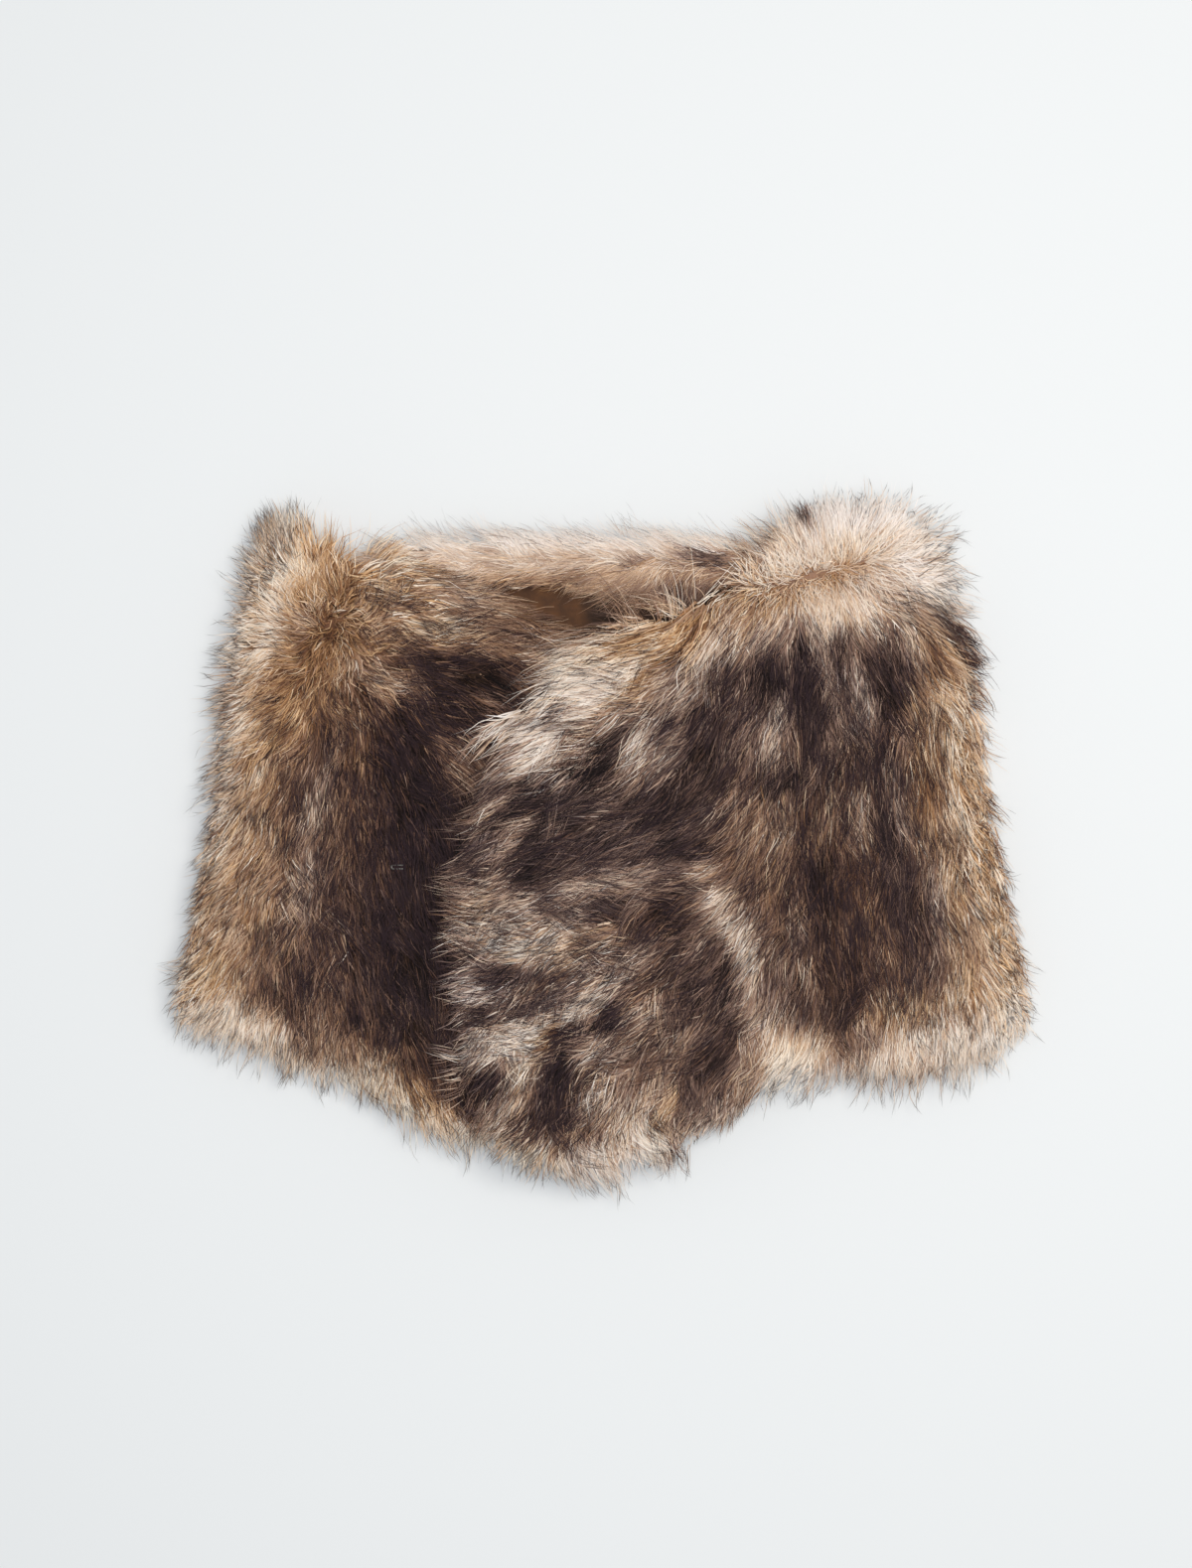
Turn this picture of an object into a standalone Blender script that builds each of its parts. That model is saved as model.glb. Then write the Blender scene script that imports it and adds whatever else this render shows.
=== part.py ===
"""Short shoulder wrap of long-pile fur, laid flat with its front closed.

The back panel lies lowest, fur side down. The left front is folded over it, and the right front
over both. A strip of the fur is turned over the back neck edge as a facing, and a patch of the
lining shows in the neck opening below it. Each panel is a thick wall: the backing with its pile.

Lengths in the tables are millimetres, x to the right, y from the hem to the neck, z up.
The meshes are in metres.
"""

import math
from collections import namedtuple

import bmesh
import bpy
import numpy as np

Place = namedtuple("Place", "x y")
Edges = namedtuple("Edges", "neck hem left right")
Comb = namedtuple("Comb", "x y angle")  # where the hair points, in degrees from +x
Mound = namedtuple("Mound", "x y radius height")


def places(*pairs):
    return [Place(*pair) for pair in pairs]


MM = 0.001

# Heights of the layers above the surface that the wrap lies on
BACK_THICKNESS = 12.4  # backing, with its pile pressed flat under it
SEAM_GAP = 0.3  # between pieces that are sewn together or lie on each other
LINING_THICKNESS = 1.2
FRONT_BED = BACK_THICKNESS + SEAM_GAP  # underside of a front that lies on the back
LEFT_LOFT = 35.0  # fur surface of the left front where nothing lies on it
LEFT_PRESSED = 24.0  # the same under the right front
RIGHT_LOFT = 36.5  # fur surface of the right front beside the left one
RIGHT_CLIMB = 11.5  # how much higher it lies on top of the left one
REST_GAP = 0.7  # between the right front and the left one below it
EDGE_THICKNESS = 2.2  # a panel's wall at its outline
FACING_LOFT = 29.0
FACING_END = 21.5  # the facing where a front lies over it

# Neck opening: how far the fronts' undersides stand up there
NECK_RISE_LEFT = 9.5
NECK_HEIGHT_RIGHT = 24.0
NECK_RISE_WIDTH = 56.0
COVERED_RISE = 0.45  # share of the left front's rise that is left under the right front
COVERED_FADE = (-10.0, 40.0)  # depths under the right front between which that share sets in
RISE_START = (0.0, 40.0)  # distances from a folded side between which the undersides begin to rise

# Where the panels lie on each other, as depths inside the other panel's outline
PRESS_FADE = (-30.0, 70.0)  # the left front is pressed down between these depths
STEP_UNDER = (-30.0, -4.0)  # the right front's underside climbs onto the left one
STEP_OVER = (-48.0, 14.0)  # and its fur surface, more softly
FACING_FADE = (-26.0, -8.0)  # the facing sinks to its end height under a front

# Hem: the fronts' hair reaches past the back's hem and droops there
DROOP_WIDTH = 12.0
DROOP_DEPTH = 8.0
DROOP_ROW = 14.5  # the underside's last level row, this far in from the hem
HIDDEN_HEM_X = -62.0  # right of it the left front's hem is covered, and lies on the back
HIDDEN_HEM_FADE = 24.0
OVERHANG_START = 152.0  # y past which the right front's hair hangs over the back's neck edge
OVERHANG_WIDTH = 22.0
OVERHANG_DROOP = 10.0

# How wide the turn of a wall is at each kind of edge
SIDE_TURN = 30.0
NECK_TURN = 26.0
HEM_TURN = 46.0
FRONT_TURN = 34.0
BACK_TURN = 12.0
FACING_TURN = 15.0

# Fur locks raised on the outer side, and the tufts they make along the outline
LOCK_HEIGHT = 4.2
LOCK_LENGTH = 17.0
LOCK_WIDTH = 5.5
LOCK_PITCH = 13.5
LOCK_JITTER = 0.42  # of the pitch
LOCK_SIZES = (0.45, 1.0)
LOCK_TIP = 0.55  # a lock's tip is this share as long as its root side
LOCK_LEVEL = 0.45  # share of a lock's height that lies at the panel's loft
LOCK_FIELD = Place(235, 190)  # half sizes of the field that the locks fill
LOCK_FADE = (0.1, 0.7)  # shares of a panel's height between which they set in
COVERED_PLAIN = (-16.0, -26.0)  # depths under the right front between which the locks set in
TUFT_REACH = 7.0
TUFT_SIZES = (0.45, 1.0)
TUFT_KINDS = (1.0, 0.35, -0.1)  # long tuft, short tuft, notch
TUFT_LEAN = 0.6  # how far a tuft leans along the hair
COMB_SOFTNESS = 60.0  # square millimetres; evens out the hair's direction near a row of the table
NECK_ROLL_HEIGHT = 5.0  # of the right front's roll, above its loft
NECK_ROLL_WIDTH = 20.0

BOX_CENTRE = (1.17, 3.92)  # of the whole outline, moved to the origin

# The two folded sides, from neck to hem, shared by the back and the front above it
LEFT_SIDE = places(
    (-171, 158), (-182, 130), (-190, 100), (-195, 65), (-198, 30), (-202, 0), (-209, -40), (-216, -70),
    (-219, -90),
)
RIGHT_SIDE = places(
    (183, 148), (184, 126), (191, 103), (198, 75), (200, 45), (205, 8), (211, -32), (217, -65), (220, -90)
)

LEFT_FRONT = Edges(
    neck=places(
        (-171, 158), (-150, 163), (-125, 154), (-90, 138), (-55, 120), (-25, 104), (12, 86), (52, 45),
    ),
    hem=places(
        (-219, -90), (-190, -102), (-160, -114), (-128, -123), (-100, -144), (-70, -156),
        (-30, -151), (20, -142), (60, -125), (84, -108),
    ),
    left=LEFT_SIDE,
    right=places((52, 45), (50, 10), (57, -30), (72, -75), (84, -108)),
)
RIGHT_FRONT = Edges(
    neck=places(
        (-62, 64), (-40, 82), (-14, 103), (8, 120), (38, 128), (66, 144), (92, 166), (118, 174), (142, 175),
        (166, 166), (183, 148),
    ),
    hem=places(
        (-66, -138), (-42, -160), (-5, -173), (20, -168), (37, -166), (60, -143), (86, -127), (120, -122),
        (150, -123), (184, -116), (207, -105), (220, -90),
    ),
    left=places((-62, 64), (-73, 40), (-81, 8), (-88, -30), (-88, -70), (-80, -106), (-66, -138)),
    right=RIGHT_SIDE,
)
BACK_NECK = places((-171, 158), (-125, 156), (-60, 156), (0, 156), (60, 156), (120, 152), (183, 148))
BACK_HEM = places(
    (-219, -90), (-188, -84), (-158, -96), (-124, -105), (-94, -126), (-60, -136), (-10, -138), (24, -133),
    (56, -117), (84, -105), (120, -102), (150, -103), (184, -96), (204, -87), (220, -90),
)
BACK = Edges(neck=BACK_NECK, hem=BACK_HEM, left=LEFT_SIDE, right=RIGHT_SIDE)
FACING = Edges(
    neck=places((-112, 152), (-70, 156.5), (0, 157), (50, 156.5), (86, 152)),
    hem=places((-106, 134), (-70, 127), (-35, 127), (0, 126), (40, 125), (80, 131)),
    left=places((-112, 152), (-113, 143), (-106, 134)),
    right=places((86, 152), (87, 142), (80, 131)),
)
LINING_OUTLINE = places(
    (-100, 132), (-62, 98), (-20, 86), (22, 86), (58, 102), (78, 130), (72, 146), (40, 149), (0, 150),
    (-50, 150), (-90, 147),
)

# Line along which the hair on the right front's neck roll parts to both sides
PARTING = places((6, 108), (36, 114), (76, 129), (112, 134), (142, 141), (168, 150))

# Soft mounds and hollows on the fronts: the crown of the left one, the folds of the right one
LEFT_MOUNDS = [Mound(-142, 116, 40, 6.0), Mound(-110, 20, 60, 2.0), Mound(-150, -60, 50, 1.5)]
RIGHT_MOUNDS = [
    Mound(140, 128, 38, 4.0), Mound(-20, 60, 42, 2.5), Mound(-25, -8, 24, -2.0), Mound(-10, -26, 22, 2.5),
    Mound(-32, -101, 16, 3.0), Mound(-4, -122, 20, -2.5), Mound(60, -40, 26, 2.5), Mound(112, -55, 26, -3.0),
    Mound(150, 40, 50, 1.5), Mound(180, -60, 40, 1.5),
]

HAIR = [
    Comb(-142, 150, 95), Comb(-168, 140, 140), Comb(-178, 108, 190), Comb(-186, 55, -140),
    Comb(-200, -20, -125), Comb(-208, -80, -130), Comb(-150, 80, -105), Comb(-108, 118, -8),
    Comb(-70, 102, -8), Comb(-85, 60, -40), Comb(-125, 30, -82), Comb(-100, -10, -78),
    Comb(-140, -60, -88), Comb(-100, -90, -80), Comb(-160, -100, -98), Comb(-100, -130, -82),
    Comb(-25, 150, 168), Comb(50, 150, 160), Comb(-20, 130, -165), Comb(112, 168, 100),
    Comb(150, 165, 70), Comb(178, 140, -10), Comb(80, 148, 125), Comb(90, 118, -102),
    Comb(140, 120, -82), Comb(40, 124, 140), Comb(45, 98, -125), Comb(188, 105, -48),
    Comb(198, 60, -65), Comb(206, -30, -72), Comb(216, -80, -66), Comb(-12, 92, -165),
    Comb(-45, 70, -148), Comb(10, 60, -140), Comb(60, 60, -112), Comb(110, 60, -96), Comb(155, 55, -86),
    Comb(-68, 15, -158), Comb(-20, 15, -160), Comb(30, 15, -150), Comb(-78, -50, -174),
    Comb(-30, -35, -172), Comb(20, -35, -162), Comb(-70, -105, -152), Comb(-20, -85, -146),
    Comb(30, -85, -132), Comb(-40, -145, -132), Comb(0, -150, -124), Comb(38, -150, -104),
    Comb(70, -60, -120), Comb(90, -112, -126), Comb(105, -20, -90), Comb(140, -60, -90),
    Comb(130, -112, -94), Comb(175, -50, -80), Comb(185, -105, -84),
]

# Wire eye of the fur hook: where it lies on the left front, and its size
EYE_PLACE = Place(-102.0, -12.5)
EYE_LENGTH = 5.0
EYE_BAR_SPACING = 1.8
EYE_WIRE = 0.8
EYE_BED = 9.0  # the fur surface is smooth this far round it


def clear_scene():
    for obj in list(bpy.data.objects):
        bpy.data.objects.remove(obj, do_unlink=True)


def smooth(low, high, value):
    """0 below low, 1 above high and a soft step between them; low may be the larger."""
    t = np.clip((value - low) / (high - low), 0.0, 1.0)
    return t * t * (3.0 - 2.0 * t)


def turned(distance, width):
    """Share of a wall's full height at a distance in from its edge, along a quarter ellipse."""
    return np.sqrt(1.0 - (1.0 - np.clip(distance / width, 0.0, 1.0)) ** 2)


def curve_through(row, t):
    """Points at t, from 0 to 1 along the length, on a smooth curve through the places."""
    knots = np.array(row, float)
    run = np.concatenate([[0.0], np.cumsum(np.linalg.norm(np.diff(knots, axis=0), axis=1))])
    run = run / run[-1]
    slope = np.gradient(knots, run, axis=0)
    k = np.clip(np.searchsorted(run, t, side="right") - 1, 0, len(run) - 2)
    step = (run[k + 1] - run[k])[:, None]
    f = ((t - run[k])[:, None]) / step
    start = (1 + 2 * f) * (1 - f) ** 2 * knots[k] + f * (1 - f) ** 2 * step * slope[k]
    return start + f * f * (3 - 2 * f) * knots[k + 1] + f * f * (f - 1) * step * slope[k + 1]


def patch(edges, across, down):
    """Grid of places between four edges: across from the left to the right one, down from neck to hem."""
    neck, hem = curve_through(edges.neck, across), curve_through(edges.hem, across)
    left, right = curve_through(edges.left, down), curve_through(edges.right, down)
    u, v = across[None, :, None], down[:, None, None]
    ruled = (1 - v) * neck[None] + v * hem[None] + (1 - u) * left[:, None] + u * right[:, None]
    corners = (1 - u) * (1 - v) * neck[0] + u * (1 - v) * neck[-1] + (1 - u) * v * hem[0] + u * v * hem[-1]
    return ruled - corners


def edge_distance(points, *rows):
    """Distance from each point to the nearest of the curves through these rows of places."""
    nearest = np.full(points.shape[:-1], np.inf)
    for row in rows:
        line = curve_through(row, np.linspace(0, 1, 6 * len(row)))
        for a, b in zip(line[:-1], line[1:]):
            along = np.clip(((points - a) @ (b - a)) / max((b - a) @ (b - a), 1e-9), 0.0, 1.0)
            gap = np.linalg.norm(points - a - along[..., None] * (b - a), axis=-1)
            nearest = np.minimum(nearest, gap)
    return nearest


def depth_inside(points, edges):
    """Distance in from a panel's outline, negative outside it."""
    outline = np.concatenate([
        curve_through(edges.neck, np.linspace(0, 1, 40)), curve_through(edges.right, np.linspace(0, 1, 30)),
        curve_through(edges.hem, np.linspace(1, 0, 40)), curve_through(edges.left, np.linspace(1, 0, 30)),
    ])
    x, y = points[..., 0], points[..., 1]
    inside = np.zeros(x.shape, bool)
    for (ax, ay), (bx, by) in zip(outline, np.roll(outline, -1, axis=0)):
        if ay == by:
            continue
        crosses = ((ay > y) != (by > y)) & (x < (bx - ax) * (y - ay) / (by - ay) + ax)
        inside ^= crosses
    distance = edge_distance(points, edges.neck, edges.right, edges.hem, edges.left)
    return np.where(inside, distance, -distance)


def mounds_at(points, mounds):
    height = np.zeros(points.shape[:-1])
    for m in mounds:
        gap = (points[..., 0] - m.x) ** 2 + (points[..., 1] - m.y) ** 2
        height += m.height * np.exp(-gap / m.radius**2)
    return height


def hair_direction(points):
    """Unit vectors along the lie of the hair, blended from the table by distance."""
    total = np.zeros(points.shape)
    for c in HAIR:
        weight = 1.0 / ((points[..., 0] - c.x) ** 2 + (points[..., 1] - c.y) ** 2 + COMB_SOFTNESS) ** 1.5
        total[..., 0] += weight * math.cos(math.radians(c.angle))
        total[..., 1] += weight * math.sin(math.radians(c.angle))
    return total / np.maximum(np.linalg.norm(total, axis=-1, keepdims=True), 1e-9)


def locks_at(points, seed):
    """Height of the fur locks: long bumps along the hair on a jittered grid, steeper at their tips."""
    draw = np.random.default_rng(seed)
    far = LOCK_FIELD
    xs, ys = np.meshgrid(np.arange(-far.x, far.x + 1, LOCK_PITCH), np.arange(-far.y, far.y + 1, LOCK_PITCH))
    shift = draw.uniform(-LOCK_JITTER, LOCK_JITTER, (xs.size, 2)) * LOCK_PITCH
    centres = np.stack([xs.ravel(), ys.ravel()], 1) + shift
    sizes = draw.uniform(*LOCK_SIZES, xs.size)
    lie = hair_direction(centres)
    height = np.zeros(points.shape[:-1])
    for centre, size, way in zip(centres, sizes, lie):
        off = points - centre
        along = off @ way
        across = off[..., 0] * way[1] - off[..., 1] * way[0]
        length = np.where(along > 0, LOCK_TIP, 1.0) * LOCK_LENGTH
        bump = size * np.exp(-((along / length) ** 2) - (across / LOCK_WIDTH) ** 2)
        height = np.maximum(height, bump)
    return (height - LOCK_LEVEL) * LOCK_HEIGHT


def left_cover(points):
    """How deep a place of the left front lies under the right front."""
    return depth_inside(points, RIGHT_FRONT)


def left_crest(points):
    pressed = smooth(*PRESS_FADE, left_cover(points))
    loft = LEFT_LOFT + mounds_at(points, LEFT_MOUNDS)
    return loft + (LEFT_PRESSED - loft) * pressed


def hem_droop(points, edges, side):
    """How far the hair at a front's hem hangs down past the back's hem; not at all near the side."""
    near_hem = np.clip(1.0 - edge_distance(points, edges.hem) / DROOP_WIDTH, 0.0, 1.0)
    return DROOP_DEPTH * near_hem * smooth(SIDE_TURN, 2 * SIDE_TURN, edge_distance(points, side))


def left_under(points):
    covered = smooth(*COVERED_FADE, left_cover(points))
    rise = NECK_RISE_LEFT * (1.0 - (1.0 - COVERED_RISE) * covered)
    rise = rise * smooth(NECK_RISE_WIDTH, 4.0, edge_distance(points, LEFT_FRONT.neck))
    rise = rise * smooth(*RISE_START, edge_distance(points, LEFT_FRONT.left))
    shown = smooth(HIDDEN_HEM_X + HIDDEN_HEM_FADE, HIDDEN_HEM_X, points[..., 0])
    return FRONT_BED + rise - hem_droop(points, LEFT_FRONT, LEFT_SIDE) * shown


def right_under(points):
    over_left = smooth(*STEP_UNDER, depth_inside(points, LEFT_FRONT))
    resting = FRONT_BED + (left_crest(points) + REST_GAP - FRONT_BED) * over_left
    near_neck = smooth(NECK_RISE_WIDTH, 6.0, edge_distance(points, RIGHT_FRONT.neck))
    from_side = smooth(*RISE_START, edge_distance(points, RIGHT_FRONT.right))
    raised = np.maximum(NECK_HEIGHT_RIGHT - resting, 0.0) * near_neck * from_side
    past_back = smooth(0.0, OVERHANG_WIDTH, points[..., 1] - OVERHANG_START)
    drooped = hem_droop(points, RIGHT_FRONT, RIGHT_SIDE) * (1.0 - over_left)
    return resting + raised - drooped - OVERHANG_DROOP * past_back * near_neck


def right_crest(points):
    climb = RIGHT_CLIMB * smooth(*STEP_OVER, depth_inside(points, LEFT_FRONT))
    roll = NECK_ROLL_HEIGHT * np.exp(-((edge_distance(points, PARTING) / NECK_ROLL_WIDTH) ** 2))
    return RIGHT_LOFT + climb + roll + mounds_at(points, RIGHT_MOUNDS)


def facing_crest(points):
    covered = np.maximum(depth_inside(points, LEFT_FRONT), depth_inside(points, RIGHT_FRONT))
    return FACING_LOFT + (FACING_END - FACING_LOFT) * smooth(*FACING_FADE, covered)


def eased(count, ease=0.05):
    """Steps from 0 to 1 that are closer together near both ends."""
    t = np.linspace(0.0, 1.0, count)
    return t - ease * np.sin(2 * math.pi * t)


def tufted(grid, seeds):
    """The grid with its outline drawn out into tufts; seeds names each furred edge and its random seed."""
    grid = grid.copy()
    rows, cols = grid.shape[:2]
    every = slice(None)
    edge_line = {"neck": (0, every), "hem": (rows - 1, every), "left": (every, 0), "right": (every, cols - 1)}
    next_line = {"neck": (1, every), "hem": (rows - 2, every), "left": (every, 1), "right": (every, cols - 2)}
    for edge, seed in seeds.items():
        line = grid[edge_line[edge]]
        draw = np.random.default_rng(seed)
        reach = TUFT_REACH * draw.uniform(*TUFT_SIZES, len(line)) * draw.choice(TUFT_KINDS, len(line))
        reach[[0, -1]] = 0.0
        out = line - grid[next_line[edge]]
        out = out / np.linalg.norm(out, axis=1, keepdims=True)
        lean = hair_direction(line)
        way = out + TUFT_LEAN * lean * (np.sum(out * lean, axis=1, keepdims=True) > 0)
        way = way / np.linalg.norm(way, axis=1, keepdims=True)
        grid[edge_line[edge]] = line + way * reach[:, None]
    return grid


def border(shape, first):
    """Vertex numbers along a grid's four sides, in turn round it, for a grid numbered from first."""
    rows, cols = shape
    number = first + np.arange(rows * cols).reshape(rows, cols)
    return [number[0], number[:, -1], number[-1][::-1], number[::-1, 0]]


def stitched(upper, lower):
    """Triangles of a strip between two rows of vertices whose ends lie together, whatever their counts."""
    faces = []
    i = j = 0
    while i < len(upper) - 1 or j < len(lower) - 1:
        next_upper = (i + 1) / (len(upper) - 1)
        next_lower = (j + 1) / (len(lower) - 1)
        if j == len(lower) - 1 or (i < len(upper) - 1 and next_upper <= next_lower):
            faces.append((upper[i], lower[j], upper[i + 1]))
            i += 1
        else:
            faces.append((upper[i], lower[j], lower[j + 1]))
            j += 1
    return faces


def grid_faces(shape, first):
    rows, cols = shape
    n = first + np.arange(rows * cols).reshape(rows, cols)
    quads = np.stack([n[:-1, :-1], n[1:, :-1], n[1:, 1:], n[:-1, 1:]], -1)
    return quads.reshape(-1, 4)


def material(name, colour, roughness, metallic=0.0):
    made = bpy.data.materials.new(name)
    made.use_nodes = True
    shader = made.node_tree.nodes["Principled BSDF"]
    shader.inputs["Base Color"].default_value = (*colour, 1.0)
    shader.inputs["Roughness"].default_value = roughness
    shader.inputs["Metallic"].default_value = metallic
    made.diffuse_color = (*colour, 1.0)
    return made


def place_object(obj, collection, surface):
    collection.objects.link(obj)
    obj.data.materials.append(surface)


def walled_panel(name, upper, lower, collection, surface):
    """A closed wall between a fine upper grid and a coarser lower one, joined all round."""
    cut = np.array([*BOX_CENTRE, 0.0])
    points = np.concatenate([upper.reshape(-1, 3), lower.reshape(-1, 3)]) - cut
    count = upper.shape[0] * upper.shape[1]
    faces = [tuple(f) for f in grid_faces(upper.shape[:2], 0)]
    faces += [tuple(f[::-1]) for f in grid_faces(lower.shape[:2], count)]
    for top_side, low_side in zip(border(upper.shape[:2], 0), border(lower.shape[:2], count)):
        faces += stitched(top_side, low_side)
    mesh = bpy.data.meshes.new(name)
    mesh.from_pydata((points * MM).tolist(), [], [tuple(int(i) for i in f) for f in faces])
    shape = bmesh.new()
    shape.from_mesh(mesh)
    bmesh.ops.recalc_face_normals(shape, faces=shape.faces)
    shape.to_mesh(mesh)
    shape.free()
    mesh.shade_smooth()
    obj = bpy.data.objects.new(name, mesh)
    place_object(obj, collection, surface)
    return obj


def with_height(plan, height):
    return np.concatenate([plan, np.broadcast_to(height, plan.shape[:2])[..., None]], -1)


DOWN = eased(44)  # rows from neck to hem, the same on the back and both fronts, so that their sides match
LEFT_TUFTS = 11  # seeds of the tufts on the folded sides
RIGHT_TUFTS = 12
LEFT_FRONT_DEPTH = 245.0  # from neck to hem
LEFT_FRONT_SPANS = (0.03, 0.64)  # shares of its width: rows are close up to the first, wide past the second
RIGHT_FRONT_DEPTH = 255.0
FACING_LOCKS = 0.5  # how high the facing's locks stand, next to the fronts'


def under_rows(count, depth):
    """Rows of an underside this deep from neck to hem, the last but one where its hair starts to droop."""
    droop_start = 1.0 - DROOP_ROW / depth
    return np.append(np.linspace(0.0, droop_start, count - 1), 1.0)


def make_back(collection, surface):
    upper = tufted(patch(BACK, eased(16), DOWN), {"left": LEFT_TUFTS, "right": RIGHT_TUFTS})
    lower = patch(BACK, eased(16, 0.09), eased(16, 0.09))
    inset = np.maximum(depth_inside(lower, BACK), 0.0)
    height = (BACK_THICKNESS - EDGE_THICKNESS) * (1.0 - turned(inset, BACK_TURN))
    upper, lower = with_height(upper, BACK_THICKNESS), with_height(lower, height)
    return walled_panel("back", upper, lower, collection, surface)


def fur_surface(plan, edges, under, crest, turns, seed, furred):
    """Heights of a panel's fur side: up from its edges to the crest, with locks where furred is 1."""
    share = np.ones(plan.shape[:2])
    for edge, width in turns.items():
        share = share * turned(edge_distance(plan, getattr(edges, edge)), width)
    low = under + EDGE_THICKNESS
    locks = locks_at(plan, seed) * smooth(*LOCK_FADE, share) * furred
    return low + np.maximum(crest - low, 0.0) * share + locks


def make_left_front(collection, surface):
    at_side, hidden_from = LEFT_FRONT_SPANS
    close, shown = np.linspace(0.0, at_side, 3), np.linspace(at_side, hidden_from, 23)
    across = np.concatenate([close[:-1], shown[:-1], np.linspace(hidden_from, 1.0, 9)])
    upper = tufted(patch(LEFT_FRONT, across, DOWN), {"left": LEFT_TUFTS, "hem": 23, "neck": 24})
    eye_gap = np.hypot(upper[..., 0] - EYE_PLACE.x, upper[..., 1] - EYE_PLACE.y)
    furred = smooth(*COVERED_PLAIN, left_cover(upper)) * smooth(EYE_BED, 2 * EYE_BED, eye_gap)
    turns = {"left": SIDE_TURN, "neck": NECK_TURN, "hem": HEM_TURN, "right": FRONT_TURN}
    height = fur_surface(upper, LEFT_FRONT, left_under(upper), left_crest(upper), turns, 3, furred)
    lower = patch(LEFT_FRONT, eased(15), under_rows(16, LEFT_FRONT_DEPTH))
    upper, lower = with_height(upper, height), with_height(lower, left_under(lower))
    return walled_panel("left_front", upper, lower, collection, surface)


def make_right_front(collection, surface):
    seeds = {"right": RIGHT_TUFTS, "hem": 34, "neck": 35, "left": 36}
    upper = tufted(patch(RIGHT_FRONT, eased(45), DOWN), seeds)
    turns = {"left": FRONT_TURN, "neck": NECK_TURN, "hem": HEM_TURN, "right": SIDE_TURN}
    height = fur_surface(upper, RIGHT_FRONT, right_under(upper), right_crest(upper), turns, 7, 1.0)
    lower = patch(RIGHT_FRONT, eased(22), under_rows(22, RIGHT_FRONT_DEPTH))
    upper, lower = with_height(upper, height), with_height(lower, right_under(lower))
    return walled_panel("right_front", upper, lower, collection, surface)


def make_facing(collection, surface):
    upper = tufted(patch(FACING, eased(34), eased(10, 0.06)), {"neck": 41, "hem": 42})
    bed = FRONT_BED + LINING_THICKNESS + SEAM_GAP
    turns = {"neck": FACING_TURN, "hem": FACING_TURN, "left": FACING_TURN, "right": FACING_TURN}
    height = fur_surface(upper, FACING, bed, facing_crest(upper), turns, 9, FACING_LOCKS)
    lower = patch(FACING, eased(16), np.linspace(0.0, 1.0, 4))
    upper, lower = with_height(upper, height), with_height(lower, bed)
    return walled_panel("neck_facing", upper, lower, collection, surface)


def make_lining(collection, surface):
    """A flat sheet cut to its outline, lying on the back."""
    curve = bpy.data.curves.new("lining", "CURVE")
    curve.dimensions = "2D"
    curve.fill_mode = "BOTH"
    curve.extrude = LINING_THICKNESS / 2 * MM
    spline = curve.splines.new("POLY")
    corners = curve_through([*LINING_OUTLINE, LINING_OUTLINE[0]], np.linspace(0, 1, 33))[:-1]
    spline.points.add(len(corners) - 1)
    for point, (x, y) in zip(spline.points, corners):
        point.co = ((x - BOX_CENTRE[0]) * MM, (y - BOX_CENTRE[1]) * MM, 0.0, 1.0)
    spline.use_cyclic_u = True
    obj = bpy.data.objects.new("lining", curve)
    obj.location.z = (FRONT_BED + LINING_THICKNESS / 2) * MM
    place_object(obj, collection, surface)
    return obj


def make_hook_eye(collection, surface):
    """A wire bent into a narrow U, lying on the fur surface."""
    spot = np.array([[EYE_PLACE.x, EYE_PLACE.y]])
    height = left_crest(spot)[0] + 1.5 * SEAM_GAP + EYE_WIRE / 2
    half = EYE_BAR_SPACING / 2
    bend = np.linspace(math.pi / 2, -math.pi / 2, 7)
    route = [(EYE_LENGTH / 2, half)]
    route += [(-EYE_LENGTH / 2 - half * math.cos(a), half * math.sin(a)) for a in bend]
    route += [(EYE_LENGTH / 2, -half)]
    curve = bpy.data.curves.new("hook_eye", "CURVE")
    curve.dimensions = "3D"
    curve.bevel_depth = EYE_WIRE / 2 * MM
    curve.bevel_resolution = 2
    curve.use_fill_caps = True
    spline = curve.splines.new("POLY")
    spline.points.add(len(route) - 1)
    for point, (x, y) in zip(spline.points, route):
        point.co = (x * MM, y * MM, 0.0, 1.0)
    obj = bpy.data.objects.new("hook_eye", curve)
    obj.location = (
        (EYE_PLACE.x - BOX_CENTRE[0]) * MM, (EYE_PLACE.y - BOX_CENTRE[1]) * MM, height * MM
    )
    place_object(obj, collection, surface)
    return obj


def main():
    clear_scene()
    wrap = bpy.data.collections.new("fur_collar_wrap")
    bpy.context.scene.collection.children.link(wrap)
    make_back(wrap, material("back_fur", (0.19, 0.13, 0.08), 0.9))
    make_left_front(wrap, material("left_front_fur", (0.23, 0.15, 0.09), 0.9))
    make_right_front(wrap, material("right_front_fur", (0.27, 0.19, 0.13), 0.9))
    make_facing(wrap, material("facing_fur", (0.45, 0.32, 0.19), 0.9))
    make_lining(wrap, material("lining_suede", (0.26, 0.15, 0.06), 0.8))
    make_hook_eye(wrap, material("hook_wire", (0.5, 0.48, 0.45), 0.35, 1.0))


main()
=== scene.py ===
# Short shoulder wrap of long-pile fur, laid flat with its front closed.
# Places in the tables are millimetres on the surface it lies on: x to the right, y from the hem
# to the neck. Heights are millimetres above that surface.
import math

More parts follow.
